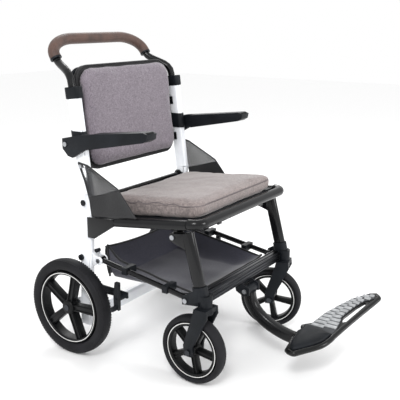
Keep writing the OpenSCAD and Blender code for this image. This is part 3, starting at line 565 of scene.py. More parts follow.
def tread_tree(material):
    """Blocks set round a circle in the YZ plane."""
    tree = sized_tree("tread_ring", ("Radius", "Across", "Block Width", "Block Length", "Block Height"),
                      ("Blocks",))
    make = tree.nodes.new
    link = tree.links.new
    start = make("NodeGroupInput")
    circle = make("GeometryNodeCurvePrimitiveCircle")
    tangent = make("GeometryNodeInputTangent")
    align = make("FunctionNodeAlignRotationToVector")
    align.axis = "X"
    align.pivot_axis = "Z"
    size = make("ShaderNodeCombineXYZ")
    block = make("GeometryNodeMeshCube")
    place = make("GeometryNodeInstanceOnPoints")
    turn = make("GeometryNodeTransform")
    turn.inputs["Rotation"].default_value = (0, math.pi / 2, 0)
    offset = make("ShaderNodeCombineXYZ")
    link(start.outputs["Blocks"], circle.inputs["Resolution"])
    link(start.outputs["Radius"], circle.inputs["Radius"])
    link(start.outputs["Block Length"], size.inputs["X"])
    link(start.outputs["Block Height"], size.inputs["Y"])
    link(start.outputs["Block Width"], size.inputs["Z"])
    link(size.outputs["Vector"], block.inputs["Size"])
    link(tangent.outputs["Tangent"], align.inputs["Vector"])
    link(circle.outputs["Curve"], place.inputs["Points"])
    link(block.outputs["Mesh"], place.inputs["Instance"])
    link(align.outputs["Rotation"], place.inputs["Rotation"])
    link(place.outputs["Instances"], turn.inputs["Geometry"])
    link(start.outputs["Across"], offset.inputs["X"])
    link(offset.outputs["Vector"], turn.inputs["Translation"])
    sent_out(tree, turn.outputs["Geometry"], material)
    return tree


treads = tread_tree(tyre_rubber)


def box_into(shape, low, high, spin=0.0, flare=1.0):
    """A block from low to high, turned about X, whose top is flare times as deep in Y."""
    corners = []
    for z in (low[2], high[2]):
        scale = flare if z == high[2] else 1
        for x, y in ((low[0], low[1]), (high[0], low[1]), (high[0], high[1]), (low[0], high[1])):
            corners.append(Matrix.Rotation(spin, 3, "X") @ Vector((x, y * scale, z)))
    made = [shape.verts.new(c) for c in corners]
    for face in ((3, 2, 1, 0), (4, 5, 6, 7), (0, 1, 5, 4), (1, 2, 6, 5), (2, 3, 7, 6), (3, 0, 4, 7)):
        shape.faces.new([made[i] for i in face])


def placed(mesh, centre, turn):
    """Moves a wheel's mesh from the X axis to its axle."""
    mesh.transform(Matrix.Translation(centre) @ Matrix.Rotation(turn, 4, "Z"))
    return mesh


SPOKES = 5
SPOKE_FLARE = 1.35
SPOKE_SINK = 0.004
SPOKE_THIN = 0.62
FLANGE_PLACE = 0.36
FLANGE_HALF = 0.1
FLANGE_PROUD = 0.003
RIM_WALL = 0.012
RIM_INSET = 0.004
RIM_EDGE = 0.0012
HUB_BORE = 0.0115
HUB_EDGE = 0.002
STRIPE_HALF_HIGH = 0.0011
STRIPE_HALF_THICK = 0.0007
STRIPE_PROUD = 0.0004
LUG_SINK = 0.0004
LUG_DEPTH = 0.0062
LUG_PLACE = 0.28
LUG_WIDTH = 0.2
LUG_LENGTH = 0.0052
LUG_HEIGHT = 0.006


def wheel(label, side, radius, width, depth, hub_radius, spoke, turn, phase, lugs, stripe_inset):
    """Tyre, rim, hub and painted lines of one wheel, round its bearings."""
    body = f"{label}_wheel_{side}"
    low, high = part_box(f"{label}_bearings_{side}")
    centre = (low + high) / 2
    rim_radius = radius - depth
    rim_half = width / 2 - RIM_INSET
    sink = LUG_SINK if lugs else 0
    tyre_shape = bmesh.new()
    rings_into(tyre_shape, rounded_section(width / 2, radius - sink - depth / 2, depth / 2))
    tyre_mesh = placed(formed(f"{label}_tyre_{side}_moulded", tyre_shape), centre, turn)
    tyre = fitted(new_piece(f"{label}_tyre_{side}_moulded", tyre_mesh, tyre_rubber), body)
    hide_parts(f"{label}_tyre_{side}")
    if lugs:
        for end, word in ((-1, "in"), (1, "out")):
            ring = new_piece(f"{label}_tread_{side}_{word}", bpy.data.meshes.new("tread"), tyre_rubber)
            run_tree(ring, treads, {"Radius": radius - LUG_DEPTH, "Across": end * width * LUG_PLACE,
                                    "Block Width": width * LUG_WIDTH, "Block Length": LUG_LENGTH,
                                    "Block Height": LUG_HEIGHT, "Blocks": lugs})
            placed(ring.data, centre, turn)
            fitted(ring, body)

    rim_shape = bmesh.new()
    rings_into(rim_shape, rounded_section(rim_half, rim_radius - RIM_WALL / 2, RIM_WALL / 2, 20, 5))
    hub_half = min((high - low).length / 2 if turn else (high.x - low.x) / 2, width / 2)
    rings_into(rim_shape, [(-hub_half, HUB_BORE), (hub_half, HUB_BORE), (hub_half, hub_radius - HUB_EDGE),
                           (hub_half - HUB_EDGE, hub_radius), (-hub_half + HUB_EDGE, hub_radius),
                           (-hub_half, hub_radius - HUB_EDGE)])
    thin = rim_half * SPOKE_THIN
    for k in range(SPOKES):
        spin = phase + 2 * math.pi * k / SPOKES
        box_into(rim_shape, (-thin, -spoke / 2, hub_radius - SPOKE_SINK),
                 (thin, spoke / 2, rim_radius - RIM_WALL + 0.003), spin, SPOKE_FLARE)
        for edge in (-1, 1):
            middle = edge * spoke * FLANGE_PLACE
            reach = spoke * FLANGE_HALF
            box_into(rim_shape, (-thin - FLANGE_PROUD, middle - reach, hub_radius - 0.003),
                     (thin + FLANGE_PROUD, middle + reach, rim_radius - RIM_WALL + 0.002), spin)
    rim_mesh = placed(formed(f"{label}_rim_{side}_moulded", rim_shape), centre, turn)
    rim = bevelled(new_piece(f"{label}_rim_{side}_moulded", rim_mesh, rim_nylon), RIM_EDGE, 2, 50)
    fitted(rim, body)
    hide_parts(f"{label}_rim_{side}")

    stripe_shape = bmesh.new()
    for end in (-1, 1):
        section = rounded_section(STRIPE_HALF_THICK, rim_radius - stripe_inset, STRIPE_HALF_HIGH, 10, 2)
        rings_into(stripe_shape, [(end * (rim_half + STRIPE_PROUD) + x, r) for x, r in section])
    stripe_mesh = placed(formed(f"{label}_stripes_{side}", stripe_shape), centre, turn)
    fitted(new_piece(f"{label}_stripes_{side}", stripe_mesh, stripe_white), body)


LEFT_CASTER_TURN = math.radians(16)
for side in ("right", "left"):
    wheel("rear", side, radius=0.150, width=0.044, depth=0.036, hub_radius=0.022, spoke=0.020,
          turn=0.0, phase=math.radians(14.7), lugs=104, stripe_inset=0.0054)
    wheel("caster", side, radius=0.101, width=0.038, depth=0.019, hub_radius=0.016, spoke=0.014,
          turn=LEFT_CASTER_TURN if side == "left" else 0.0, phase=math.radians(25), lugs=0,
          stripe_inset=0.0022)


# ---------------------------------------------------------------------------
# Hub caps. A shallow black dome clips over the outer end of each rear axle.
# ---------------------------------------------------------------------------

def lathe(name, points, centre, material, body):
    """A turned cover on the X axis at a centre."""
    shape = bmesh.new()
    rings_into(shape, points, 48)
    mesh = placed(formed(name, shape), centre, 0.0)
    fitted(new_piece(name, mesh, material), body)


CAP_RADIUS = 0.0195
CAP_RISE = 0.0032
CAP_LIP = 0.002
CAP_STEPS = 8
CAP_CORE = 0.0004
for side, outward in (("right", -1), ("left", 1)):
    low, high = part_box(f"rear_rim_{side}")
    face = (high.x - low.x) / 2 - 0.001
    dome = [(outward * (face + CAP_RISE * math.cos(a)), CAP_RADIUS * math.sin(a) + CAP_CORE)
            for a in (math.pi / 2 * k / CAP_STEPS for k in range(CAP_STEPS + 1))]
    ring = dome + [(outward * (face - CAP_LIP), CAP_RADIUS), (outward * (face - CAP_LIP), CAP_CORE)]
    lathe(f"hub_cap_{side}", ring, (low + high) / 2, rim_nylon, f"rear_wheel_{side}")


# ---------------------------------------------------------------------------
# Seat cushion. A boxed foam pad in grey-brown melange cloth, which slopes up to
# the front. Its top edge is sewn with a welt, and it rests on the seat board.
# ---------------------------------------------------------------------------

def melange(name, dark, light, thread_scale):
    """Woven cloth: yarns of two shades, slubs along both ways and a soft nap."""
    material, tree, shader = new_material(name)
    warp = noise_in(tree, thread_scale, 3, (0.12, 1, 1))
    weft = noise_in(tree, thread_scale, 3, (1, 0.12, 0.12))
    mixed = tree.nodes.new("ShaderNodeMath")
    mixed.operation = "ADD"
    tree.links.new(warp, mixed.inputs[0])
    tree.links.new(weft, mixed.inputs[1])
    half = tree.nodes.new("ShaderNodeMath")
    half.operation = "MULTIPLY"
    half.inputs[1].default_value = 0.5
    tree.links.new(mixed.outputs[0], half.inputs[0])
    yarn = ramp(tree, half.outputs[0], 0.38, 0.62, linear(*dark), linear(*light))
    cloud = noise_in(tree, 9, 4)
    shade = tree.nodes.new("ShaderNodeMix")
    shade.data_type = "RGBA"
    shade.blend_type = "MULTIPLY"
    shade.inputs["Factor"].default_value = 0.25
    tree.links.new(yarn, shade.inputs[6])
    tree.links.new(ramp(tree, cloud, 0.3, 0.7, (0.72, 0.72, 0.72, 1), (1, 1, 1, 1)), shade.inputs[7])
    tree.links.new(shade.outputs[2], shader.inputs["Base Color"])
    bumped(tree, shader, half.outputs[0], 0.0005, 0.7)
    shader.inputs["Roughness"].default_value = 0.88
    shader.inputs["Sheen Weight"].default_value = 0.35
    shader.inputs["Sheen Roughness"].default_value = 0.5
    shader.inputs["Specular IOR Level"].default_value = 0.25
    return material


PAD_VOXEL = 0.006
PAD_PRESSURE = 4.0
PAD_FRAMES = 20


def stuffed(piece, cap):
    """Swells a pad with a short cloth simulation and limits how far it moves."""
    remesh = piece.modifiers.new("remesh", "REMESH")
    remesh.mode = "VOXEL"
    remesh.voxel_size = PAD_VOXEL
    applied(piece)
    start = [v.co.copy() for v in piece.data.vertices]
    cloth = piece.modifiers.new("cloth", "CLOTH")
    settings = cloth.settings
    settings.use_pressure = True
    settings.uniform_pressure_force = PAD_PRESSURE
    settings.effector_weights.gravity = 0
    settings.tension_stiffness = 12
    settings.compression_stiffness = 12
    settings.bending_stiffness = 1.5
    settings.mass = 0.3
    cloth.point_cache.frame_start = 1
    cloth.point_cache.frame_end = PAD_FRAMES
    for step in range(1, PAD_FRAMES + 1):
        scene.frame_set(step)
    applied(piece)
    scene.frame_set(1)
    for vertex, origin in zip(piece.data.vertices, start):
        move = vertex.co - origin
        if move.length > cap:
            vertex.co = origin + move.normalized() * cap
    return piece


def pad_mesh(name, outline, layers):
    """A closed pad: the outline of (x, y) points, drawn once for each (inset, z) layer."""
    middle = sum((Vector(p) for p in outline), Vector((0, 0))) / len(outline)
    count = len(outline)
    vertices = []
    for inset, z in layers:
        for point in outline:
            reach = Vector(point) - middle
            size = max(1 - inset / reach.length, 0)
            spot = middle + reach * size
            vertices.append((spot.x, spot.y, z))
    return solid_mesh(name, vertices, tube_faces(len(layers), count))


def round_rectangle(x0, x1, y0, y1, front, rear, steps=8):
    """A rectangle with its own corner radius at the y0 end and at the y1 end."""
    points = []
    for cx, cy, radius, first in ((x1 - rear, y1 - rear, rear, 0), (x0 + rear, y1 - rear, rear, 1),
                                  (x0 + front, y0 + front, front, 2), (x1 - front, y0 + front, front, 3)):
        for k in range(steps + 1):
            angle = math.pi / 2 * (first + k / steps)
            points.append((cx + radius * math.cos(angle), cy + radius * math.sin(angle)))
    return points


EASE_PASSES = 6


def onto(surface, path, lift=0.0):
    """Each point of a closed path, moved to the nearest point of a piece's surface and eased."""
    tree = BVHTree.FromPolygons([v.co for v in surface.data.vertices],
                                [p.vertices for p in surface.data.polygons])
    moved = []
    for point in path:
        spot, normal, _, _ = tree.find_nearest(point)
        moved.append(spot + normal * lift)
    for _ in range(EASE_PASSES):
        moved = [(moved[i - 1] + p * 2 + moved[(i + 1) % len(moved)]) / 4 for i, p in enumerate(moved)]
    return moved


def creased(piece, path, depth, width):
    """Presses a sewn seam into a pad along a path."""
    lookup = kdtree.KDTree(len(path))
    for i, point in enumerate(path):
        lookup.insert(point, i)
    lookup.balance()
    normals = [v.normal.copy() for v in piece.data.vertices]
    for vertex, normal in zip(piece.data.vertices, normals):
        _, _, distance = lookup.find(vertex.co)
        if distance < width * 3:
            vertex.co -= normal * depth * math.exp(-(distance / width) ** 2)


def rippled(piece, size, scale, seed):
    """Small uneven pulls and dimples in sewn cloth."""
    shift = Vector((seed, seed * 0.7, seed * 1.3))
    normals = [v.normal.copy() for v in piece.data.vertices]
    for vertex, normal in zip(piece.data.vertices, normals):
        vertex.co += normal * size * noise.noise(vertex.co * scale + shift)


def subdivided(piece):
    """One level of subdivision, applied."""
    levels = piece.modifiers.new("fine", "SUBSURF")
    levels.levels = 1
    levels.render_levels = 1
    return applied(piece)


SEAT_SWELL = 0.006
SEAT_CORNER = 0.034
SEAT_REAR_CORNER = 0.02
SEAT_SLOPE = math.radians(5.2)
RAIL_SLOPE = math.radians(7)
seat_low, seat_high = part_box("seat_cushion")
rear_top = seat_high.z - math.tan(SEAT_SLOPE) * (seat_high.y - seat_low.y)


def seat_base(y):
    """Height of the seat board's top at y."""
    return seat_low.z + (seat_high.y - y) * math.tan(RAIL_SLOPE)


def seat_top(y):
    """Height of the cushion's top edge at y."""
    return rear_top + (seat_high.y - y) * math.tan(SEAT_SLOPE)


def seat_outline(inset, steps=8):
    """The cushion's outline, drawn in by that much."""
    return round_rectangle(seat_low.x + inset, seat_high.x - inset, seat_low.y + inset,
                           seat_high.y - inset, SEAT_CORNER, SEAT_REAR_CORNER, steps)


FRONT_STEP = 0.02
FRONT_LIFT = 0.006
seat_mesh = pad_mesh("seat_pad", seat_outline(SEAT_SWELL), [(0.004, 0.0), (0, 0.12), (0, 0.9), (0.008, 1.0)])
for vertex in seat_mesh.vertices:
    base = seat_base(vertex.co.y) + 0.0006
    if vertex.co.y < seat_low.y + FRONT_STEP:
        base += FRONT_LIFT
    top = seat_top(vertex.co.y) - SEAT_SWELL * 0.8
    vertex.co.z = base + (top - base) * vertex.co.z
seat_cloth = melange("seat_melange", (102, 94, 93), (156, 144, 141), 1000)
seat_pad = subdivided(stuffed(new_piece("seat_pad", seat_mesh, seat_cloth), 0.009))

WELT_INSET = 0.002
WELT_DROP = 0.006
WELT_RADIUS = 0.0013
WELT_STEP = 0.004
welt_path = [Vector((x, y, seat_top(y) - WELT_DROP)) for x, y in seat_outline(WELT_INSET, 10)]
dense_welt = []
for i, point in enumerate(welt_path):
    ahead = welt_path[(i + 1) % len(welt_path)]
    parts = max(1, int((ahead - point).length / WELT_STEP))
    dense_welt += [point.lerp(ahead, k / parts) for k in range(parts)]
creased(seat_pad, onto(seat_pad, dense_welt), 0.0022, 0.004)
rippled(seat_pad, 0.0016, 22, 3.0)
for vertex in seat_pad.data.vertices:
    vertex.co.z = max(vertex.co.z, seat_base(vertex.co.y) + 0.0002)
fitted(seat_pad, "seat_frame", 80)
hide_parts("seat_cushion")

piping = spun("piping", (84, 78, 80), (120, 112, 113), 1800, 0.85, height=0.0002)
welt_mesh = swept("seat_welt", onto(seat_pad, dense_welt, 0.0004), WELT_RADIUS, WELT_RADIUS, (0, 0, 1), 8,
                  closed=True)
fitted(new_piece("seat_welt", welt_mesh, piping), "seat_frame")
stitch_line = onto(seat_pad, [p - Vector((0, 0, WELT_DROP)) for p in dense_welt], 0.0002)
stitched("seat_stitches", stitch_line + stitch_line[:1], "seat_frame")


# ---------------------------------------------------------------------------
# Backrest cushion. A melange-covered pad whose front is smaller than its rear,
# so a near-black woven gusset with piping shows round it; the gusset's black is
# also painted shade on the cushion's sides. It is fixed to the shell.
# ---------------------------------------------------------------------------

BACK_LEAN = math.radians(7.1)
BACK_THICK = 0.037
BACK_SHORT = 0.008
BACK_RISE = 0.008
BACK_SWELL = 0.006
GUSSET_THICK = 0.014
PIPE_RADIUS = 0.0022
back_low, back_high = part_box("back_cushion")
shell_low, shell_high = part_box("back_shell")
back_half = back_high.x
back_tall = (shell_high.z - shell_low.z) / math.cos(BACK_LEAN) - BACK_SHORT
lean = Matrix.Translation((0, back_low.y, back_low.z)) @ Matrix.Rotation(-BACK_LEAN, 4, "X")
# x stays across, y becomes up and z becomes forwards, on the leaning back
back_stand = lean @ Matrix(((1, 0, 0, 0), (0, 0, -1, BACK_THICK), (0, 1, 0, 0), (0, 0, 0, 1)))


def back_mesh(name, outline, layers):
    """A pad drawn flat and stood up on the leaning back."""
    mesh = pad_mesh(name, outline, layers)
    mesh.transform(back_stand)
    return mesh


def back_outline(grow, corner):
    """Outline of the back, grown or shrunk, as (across, up) points."""
    return round_rectangle(-back_half - grow, back_half + grow, -grow, back_tall + grow + BACK_RISE,
                           corner, corner)


back_cloth = melange("back_melange", (88, 82, 89), (140, 131, 140), 1000)
front_mesh = back_mesh("back_pad", back_outline(0.001, 0.045),
                       [(0.004, GUSSET_THICK), (0.001, GUSSET_THICK + 0.004), (0.002, BACK_THICK - 0.012),
                        (0.010, BACK_THICK - BACK_SWELL)])
back_pad = subdivided(stuffed(new_piece("back_pad", front_mesh, back_cloth), 0.008))
rippled(back_pad, 0.0018, 18, 9.0)
fitted(back_pad, "rear_frame", 80)
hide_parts("back_cushion")

tape = spun("black_tape", (9, 9, 11), (24, 24, 27), 1300, 0.8, sheen=0.2, stretch=(1, 0.2, 0.2),
            height=0.0003, strength=0.8)
# painted shade: the near-black gusset stands for the shade on the cushion's sides as well as its dark binding
shade_gusset_mesh = back_mesh("back_gusset_painted_shade", back_outline(0.004, 0.05),
                        [(0.003, 0.0004), (0, 0.002), (0, GUSSET_THICK - 0.003), (0.004, GUSSET_THICK)])
fitted(subdivided(new_piece("back_gusset_painted_shade", shade_gusset_mesh, tape)), "rear_frame", 50)
pipe_path = [back_stand @ Vector((x, y, GUSSET_THICK)) for x, y in back_outline(0.0022, 0.049)]
pipe_mesh = swept("back_piping", pipe_path, PIPE_RADIUS, PIPE_RADIUS, (0, -1, 0.12), 8, closed=True)
fitted(new_piece("back_piping", pipe_mesh, tape), "rear_frame")


# ---------------------------------------------------------------------------
# Armrest pads. A soft moulded pad is let into the top of each armrest's front
# half, a shade darker than the arm.
# ---------------------------------------------------------------------------

arm_pad_skin = coated("arm_pad_skin", (9, 10, 12), (17, 18, 21), 700, 0.0004, 0.5, 0.65, shine=0.25)
PAD_LENGTH = 0.118
PAD_HALF_HIGH = 0.0085
PAD_PROUD = 0.0012
PAD_NOSE = 0.03
PAD_NARROW = 0.72
PAD_SIDES = 20
PAD_STEPS = 14
ARM_SLOPE = 0.026 / 0.226
for side in ("right", "left"):
    low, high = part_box(f"armrest_{side}")
    middle = (low.x + high.x) / 2
    half_width = (high.x - low.x) / 2 - 0.001
    vertices = []
    for i in range(PAD_STEPS + 1):
        along = PAD_LENGTH * i / PAD_STEPS
        taper = min(1.0, PAD_NARROW + (1 - PAD_NARROW) * math.sin(math.pi / 2 * min(1, along / PAD_NOSE)))
        top = high.z + PAD_PROUD - along * ARM_SLOPE
        for k in range(PAD_SIDES):
            u, v = squared(2 * math.pi * (k + 0.5) / PAD_SIDES, 0.45, 0.6)
            vertices.append((middle + half_width * taper * u, low.y + 0.0025 + along,
                             top - PAD_HALF_HIGH * taper + PAD_HALF_HIGH * taper * v))
    mesh = solid_mesh(f"arm_pad_{side}", vertices, tube_faces(PAD_STEPS + 1, PAD_SIDES))
    arm_pad = bevelled(new_piece(f"arm_pad_{side}", mesh, arm_pad_skin), 0.002, 3, 60)
    fitted(arm_pad, f"arm_{side}")


# ---------------------------------------------------------------------------
# Side guards. A triangle of black net is bound with tape, closed with solid
# cloth below, snapped to the upright and sewn to the seat rail.
# ---------------------------------------------------------------------------

def net():
    """Black spacer net: open cells between threads."""
    material, tree, shader = new_material("guard_net")
    place = tree.nodes.new("ShaderNodeTexCoord")
    split = tree.nodes.new("ShaderNodeSeparateXYZ")
    flat = tree.nodes.new("ShaderNodeCombineXYZ")
    cells = tree.nodes.new("ShaderNodeTexVoronoi")
    cells.voronoi_dimensions = "2D"
    cells.inputs["Scale"].default_value = 330
    cells.inputs["Randomness"].default_value = 0.15
    tree.links.new(place.outputs["Object"], split.inputs["Vector"])
    tree.links.new(split.outputs["Y"], flat.inputs["X"])
    tree.links.new(split.outputs["Z"], flat.inputs["Y"])
    tree.links.new(flat.outputs["Vector"], cells.inputs["Vector"])
    hole = tree.nodes.new("ShaderNodeMapRange")
    hole.inputs["From Min"].default_value = 0.22
    hole.inputs["From Max"].default_value = 0.32
    tree.links.new(cells.outputs["Distance"], hole.inputs["Value"])
    tree.links.new(hole.outputs["Result"], shader.inputs["Alpha"])
    coloured(tree, shader, noise_in(tree, 700, 2), 0.3, 0.7, (12, 12, 14), (30, 30, 34))
    shader.inputs["Roughness"].default_value = 0.75
    return material


guard_net = net()
GUARD_ROWS = 26
GUARD_COLUMNS = 16
GUARD_SOLID_FROM = 0.66
GUARD_WALL = 0.0008
GUARD_DISH = 0.0065
GUARD_FOLD = 0.00096
HEM_HALF_WIDE = 0.0026
HEM_HALF_THICK = 0.0012
guard_low, guard_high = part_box("side_guards")
GUARD_REAR = [(0, 0), (0.023, 0.053), (0.040, 0.108), (0.046, 0.156)]
GUARD_FRONT = [(0, 0), (0.036, 0.005), (0.147, 0.060), (0.210, 0.136)]


def along_line(line, t):
    """The point a share t of the way along a line of (forward, down) steps from the guard's peak."""
    spans = [math.dist(a, b) for a, b in zip(line, line[1:])]
    left = t * sum(spans)
    for (a, b), span in zip(zip(line, line[1:]), spans):
        if left <= span:
            share = left / span
            return Vector((0, guard_high.y - a[0] - (b[0] - a[0]) * share,
                           guard_high.z - a[1] - (b[1] - a[1]) * share))
        left -= span
    return Vector((0, guard_high.y - line[-1][0], guard_high.z - line[-1][1]))


def guard_row(t, guard_x, outward):
    """Points across the guard at a share t of the way down, dished in and lightly creased."""
    rear, front = along_line(GUARD_REAR, t), along_line(GUARD_FRONT, t)
    row = []
    for k in range(GUARD_COLUMNS + 1):
        s = k / GUARD_COLUMNS
        point = rear.lerp(front, s)
        inward = GUARD_DISH * math.sin(math.pi * s) * math.sin(math.pi * min(1, t * 1.05))
        fold = GUARD_FOLD * math.sin(9 * s + 6 * t) * math.sin(math.pi * s)
        point.x = guard_x - outward * max(inward + fold, 0)
        row.append(point)
    return row


def sheet_mesh(name, rows):
    """A single layer through rows of points."""
    wide = len(rows[0])
    mesh = bpy.data.meshes.new(name)
    mesh.from_pydata([tuple(p) for row in rows for p in row], [],
                     [(i * wide + k, i * wide + k + 1, (i + 1) * wide + k + 1, (i + 1) * wide + k)
                      for i in range(len(rows) - 1) for k in range(wide - 1)])
    return mesh


def walled(piece, thickness):
    """Gives a single layer its thickness, half to each side."""
    wall = piece.modifiers.new("cloth", "SOLIDIFY")
    wall.thickness = thickness
    wall.offset = 0
    return applied(piece)


def across_fold(piece, degrees):
    """Smooths a guard's piece and bakes its placement into its mesh."""
    shaded_smooth(piece, degrees)
    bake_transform(piece)


for side, outward in (("right", -1), ("left", 1)):
    guard_x = outward * (guard_high.x - 0.001)
    grid = [guard_row(i / GUARD_ROWS, guard_x, outward) for i in range(GUARD_ROWS + 1)]
    solid_from = int(GUARD_ROWS * GUARD_SOLID_FROM)
    for part, rows, material in (("net", grid[:solid_from + 1], guard_net),
                                 ("panel", grid[solid_from:], tape)):
        name = f"guard_{part}_{side}"
        cloth = walled(new_piece(name, sheet_mesh(name, rows), material), GUARD_WALL)
        across_fold(cloth, 80)
        if part == "net":
            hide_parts("side_guards")
    for word, run in (("front", [row[-1] for row in grid]), ("rear", [row[0] for row in grid]),
                      ("mid", grid[solid_from])):
        name = f"guard_hem_{word}_{side}"
        hem_mesh = swept(name, run, HEM_HALF_WIDE, HEM_HALF_THICK, (1, 0, 0), 8)
        across_fold(new_piece(name, hem_mesh, tape), 38)
    snap_centre = grid[0][0] + Vector((outward * 0.0012, -0.008, -0.01))
    snap_ring = [(outward * x, r) for x, r in ((0.0022, 0.0004), (0.0022, 0.0035), (0.0012, 0.0055),
                                               (0, 0.006), (-0.0008, 0.006), (-0.0008, 0.0004))]
    lathe(f"guard_snap_{side}", snap_ring, snap_centre, steel, "rear_frame")


# ---------------------------------------------------------------------------
# Basket. A slate fabric tray hangs between the lower links, with a hem piped
# in black all round and its rear hem hooked up to the uprights.
# ---------------------------------------------------------------------------

slate = spun("slate_cloth", (40, 40, 53), (66, 66, 80), 900, 0.72, sheen=0.3, stretch=(0.15, 1, 1),
             height=0.0003, strength=0.6)
tray_low, tray_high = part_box("basket")
tray_length = tray_high.y - tray_low.y
TRAY_LEAN_REAR = 0.012
TRAY_LEAN_FRONT = 0.040
TRAY_ROUND = 0.2
TRAY_MARGIN = 0.004
TRAY_LIP_RISE = 0.030
TRAY_LIP_FROM = 0.76
TRAY_HOOK_RISE = 0.034
TRAY_HOOK_TO = 0.16
TRAY_HEM_DROP = 0.031
TRAY_HEM_FALL = 0.0535
TRAY_SAG = 0.006
TRAY_WRINKLE = 0.0022
TRAY_ROWS = 44
TRAY_REAR_ROWS = 10
TRAY_COLUMNS = 40
TRAY_WALL = 0.0018
TRAY_HEM = 0.0034


def tray_floor(s):
    """Height of the tray's floor at a share s of the way forward."""
    rise = TRAY_LIP_RISE * max(0.0, (s - TRAY_LIP_FROM) / (1 - TRAY_LIP_FROM)) ** 1.6
    return tray_low.z + 0.002 + 0.006 * (1 - s) + rise


def tray_lean(s):
    """How far the tray's side leans in, at a share s of the way forward."""
    return TRAY_LEAN_REAR + (TRAY_LEAN_FRONT - TRAY_LEAN_REAR) * min(1.0, s / 0.4)


def tray_rim(s):
    """Height of the tray's side hem at a share s of the way forward."""
    hook = TRAY_HOOK_RISE * max(0.0, 1 - s / TRAY_HOOK_TO) ** 1.5
    return tray_high.z - TRAY_HEM_DROP - TRAY_HEM_FALL * s + hook


def rear_wall_row(part):
    """Points across the rear wall at a share of the way down it."""
    y = tray_high.y - 0.002 - 0.006 * part ** 3
    z = tray_high.z + (tray_floor(0) - tray_high.z) * part
    half = tray_high.x - TRAY_MARGIN - TRAY_LEAN_REAR * part ** 2
    row = []
    for k in range(TRAY_COLUMNS + 1):
        a = 2 * k / TRAY_COLUMNS - 1
        sag = 0.012 * (1 - a * a) * (1 - part)
        row.append(Vector((a * half, y - 0.004 * (1 - a * a), z - sag)))
    return row


def tray_row(s):
    """Points up one side, across the floor and up the other side, at a share s of the way forward."""
    y = tray_high.y - 0.010 - (tray_length - 0.012) * s
    base = tray_floor(s)
    wall = max(tray_rim(s) - base, 0.006)
    half = tray_high.x - TRAY_MARGIN - tray_lean(s)
    row = []
    for k in range(TRAY_COLUMNS + 1):
        a = 2 * k / TRAY_COLUMNS - 1
        climb = max(0.0, (abs(a) - (1 - TRAY_ROUND)) / TRAY_ROUND) ** 1.15
        x = math.copysign(half * min(1, abs(a) / (1 - TRAY_ROUND * 0.75)) + tray_lean(s) * climb, a)
        x = max(-tray_high.x + 0.002, min(tray_high.x - 0.002, x))
        sag = TRAY_SAG * (1 - a * a) * math.sin(math.pi * min(1, s * 1.1))
        wrinkle = TRAY_WRINKLE * noise.noise(Vector((a * 3, s * 5, 0.4)))
        row.append(Vector((x, y, base + wall * climb - sag + wrinkle + 0.004)))
    return row


forward_rows = TRAY_ROWS - TRAY_REAR_ROWS
tray_rows = ([rear_wall_row(i / TRAY_REAR_ROWS) for i in range(TRAY_REAR_ROWS)]
             + [tray_row(i / forward_rows) for i in range(forward_rows + 1)])
basket = new_piece("basket_cloth", sheet_mesh("basket_cloth", tray_rows), slate)
fitted(subdivided(walled(basket, TRAY_WALL)), "lower_frame", 80)
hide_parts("basket")
rim_run = ([row[0] for row in reversed(tray_rows)] + tray_rows[0][1:-1] + [row[-1] for row in tray_rows]
           + tray_rows[-1][1:-1][::-1])
hem_mesh = swept("basket_hem", rim_run, TRAY_HEM, TRAY_HEM, (0.02, 0.1, 1), 10, closed=True)
fitted(new_piece("basket_hem", hem_mesh, tape), "lower_frame")


# ---------------------------------------------------------------------------
# Footrest arm. One bent alloy tube of squarish section drops from the cross
# bar's hinge and runs forward under the footplate.
# ---------------------------------------------------------------------------

pin_low, pin_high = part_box("footrest_pin")
hinge = (pin_low + pin_high) / 2
plate_pin_low, plate_pin_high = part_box("footplate_pin")
plate_hinge = (plate_pin_low + plate_pin_high) / 2
ARM_HALF_WIDE = 0.018
ARM_HALF_HIGH = 0.015
ARM_SQUARED = 0.62
ARM_STEPS = 36


def bezier(a, b, c, d, t):
    """A point on a cubic curve."""
    return a * (1 - t) ** 3 + b * 3 * t * (1 - t) ** 2 + c * 3 * t * t * (1 - t) + d * t ** 3


arm_end = plate_hinge + Vector((0, 0.013, -ARM_HALF_HIGH))
arm_path = [bezier(hinge + Vector((0, 0, -0.006)), hinge + Vector((0, 0.002, -0.064)),
                   arm_end + Vector((0, 0.092, 0.012)), arm_end, k / ARM_STEPS) for k in range(ARM_STEPS + 1)]
arm_mesh = swept("footrest_tube", arm_path, ARM_HALF_WIDE, ARM_HALF_HIGH, (1, 0, 0), 32, ARM_SQUARED)
fitted(new_piece("footrest_tube", arm_mesh, black_coat), "footrest", 60)

# only the hinge ends of the frame's own arm are kept, as the tube takes the place of the rest
arm_joints = eased("footrest_arm", moulded, 0.0006, 60)
trimmed = bmesh.new()
trimmed.from_mesh(arm_joints.data)
between = [v for v in trimmed.verts if v.co.z < hinge.z - 0.014 and v.co.y > plate_hinge.y + 0.012]
bmesh.ops.delete(trimmed, geom=between, context="VERTS")
trimmed.to_mesh(arm_joints.data)
trimmed.free()


# ---------------------------------------------------------------------------
# Footplate. A leaf-shaped dark alloy plate with a tube along its front edge, a
# grey ribbed rubber pad on its long side and a moulded dome over the hinge.
# ---------------------------------------------------------------------------

def smooth_path(points, steps=8):
    """Points along a Catmull-Rom curve through the ones given."""
    points = [Vector(p) for p in points]
    padded = [points[0] * 2 - points[1]] + points + [points[-1] * 2 - points[-2]]
    result = []
    for i in range(1, len(padded) - 2):
        a, b, c, d = padded[i - 1:i + 3]
        for k in range(steps):
            t = k / steps
            result.append(0.5 * (2 * b + (c - a) * t + (2 * a - 5 * b + 4 * c - d) * t * t
                                 + (3 * b - a - 3 * c + d) * t ** 3))
    return result + [points[-1]]


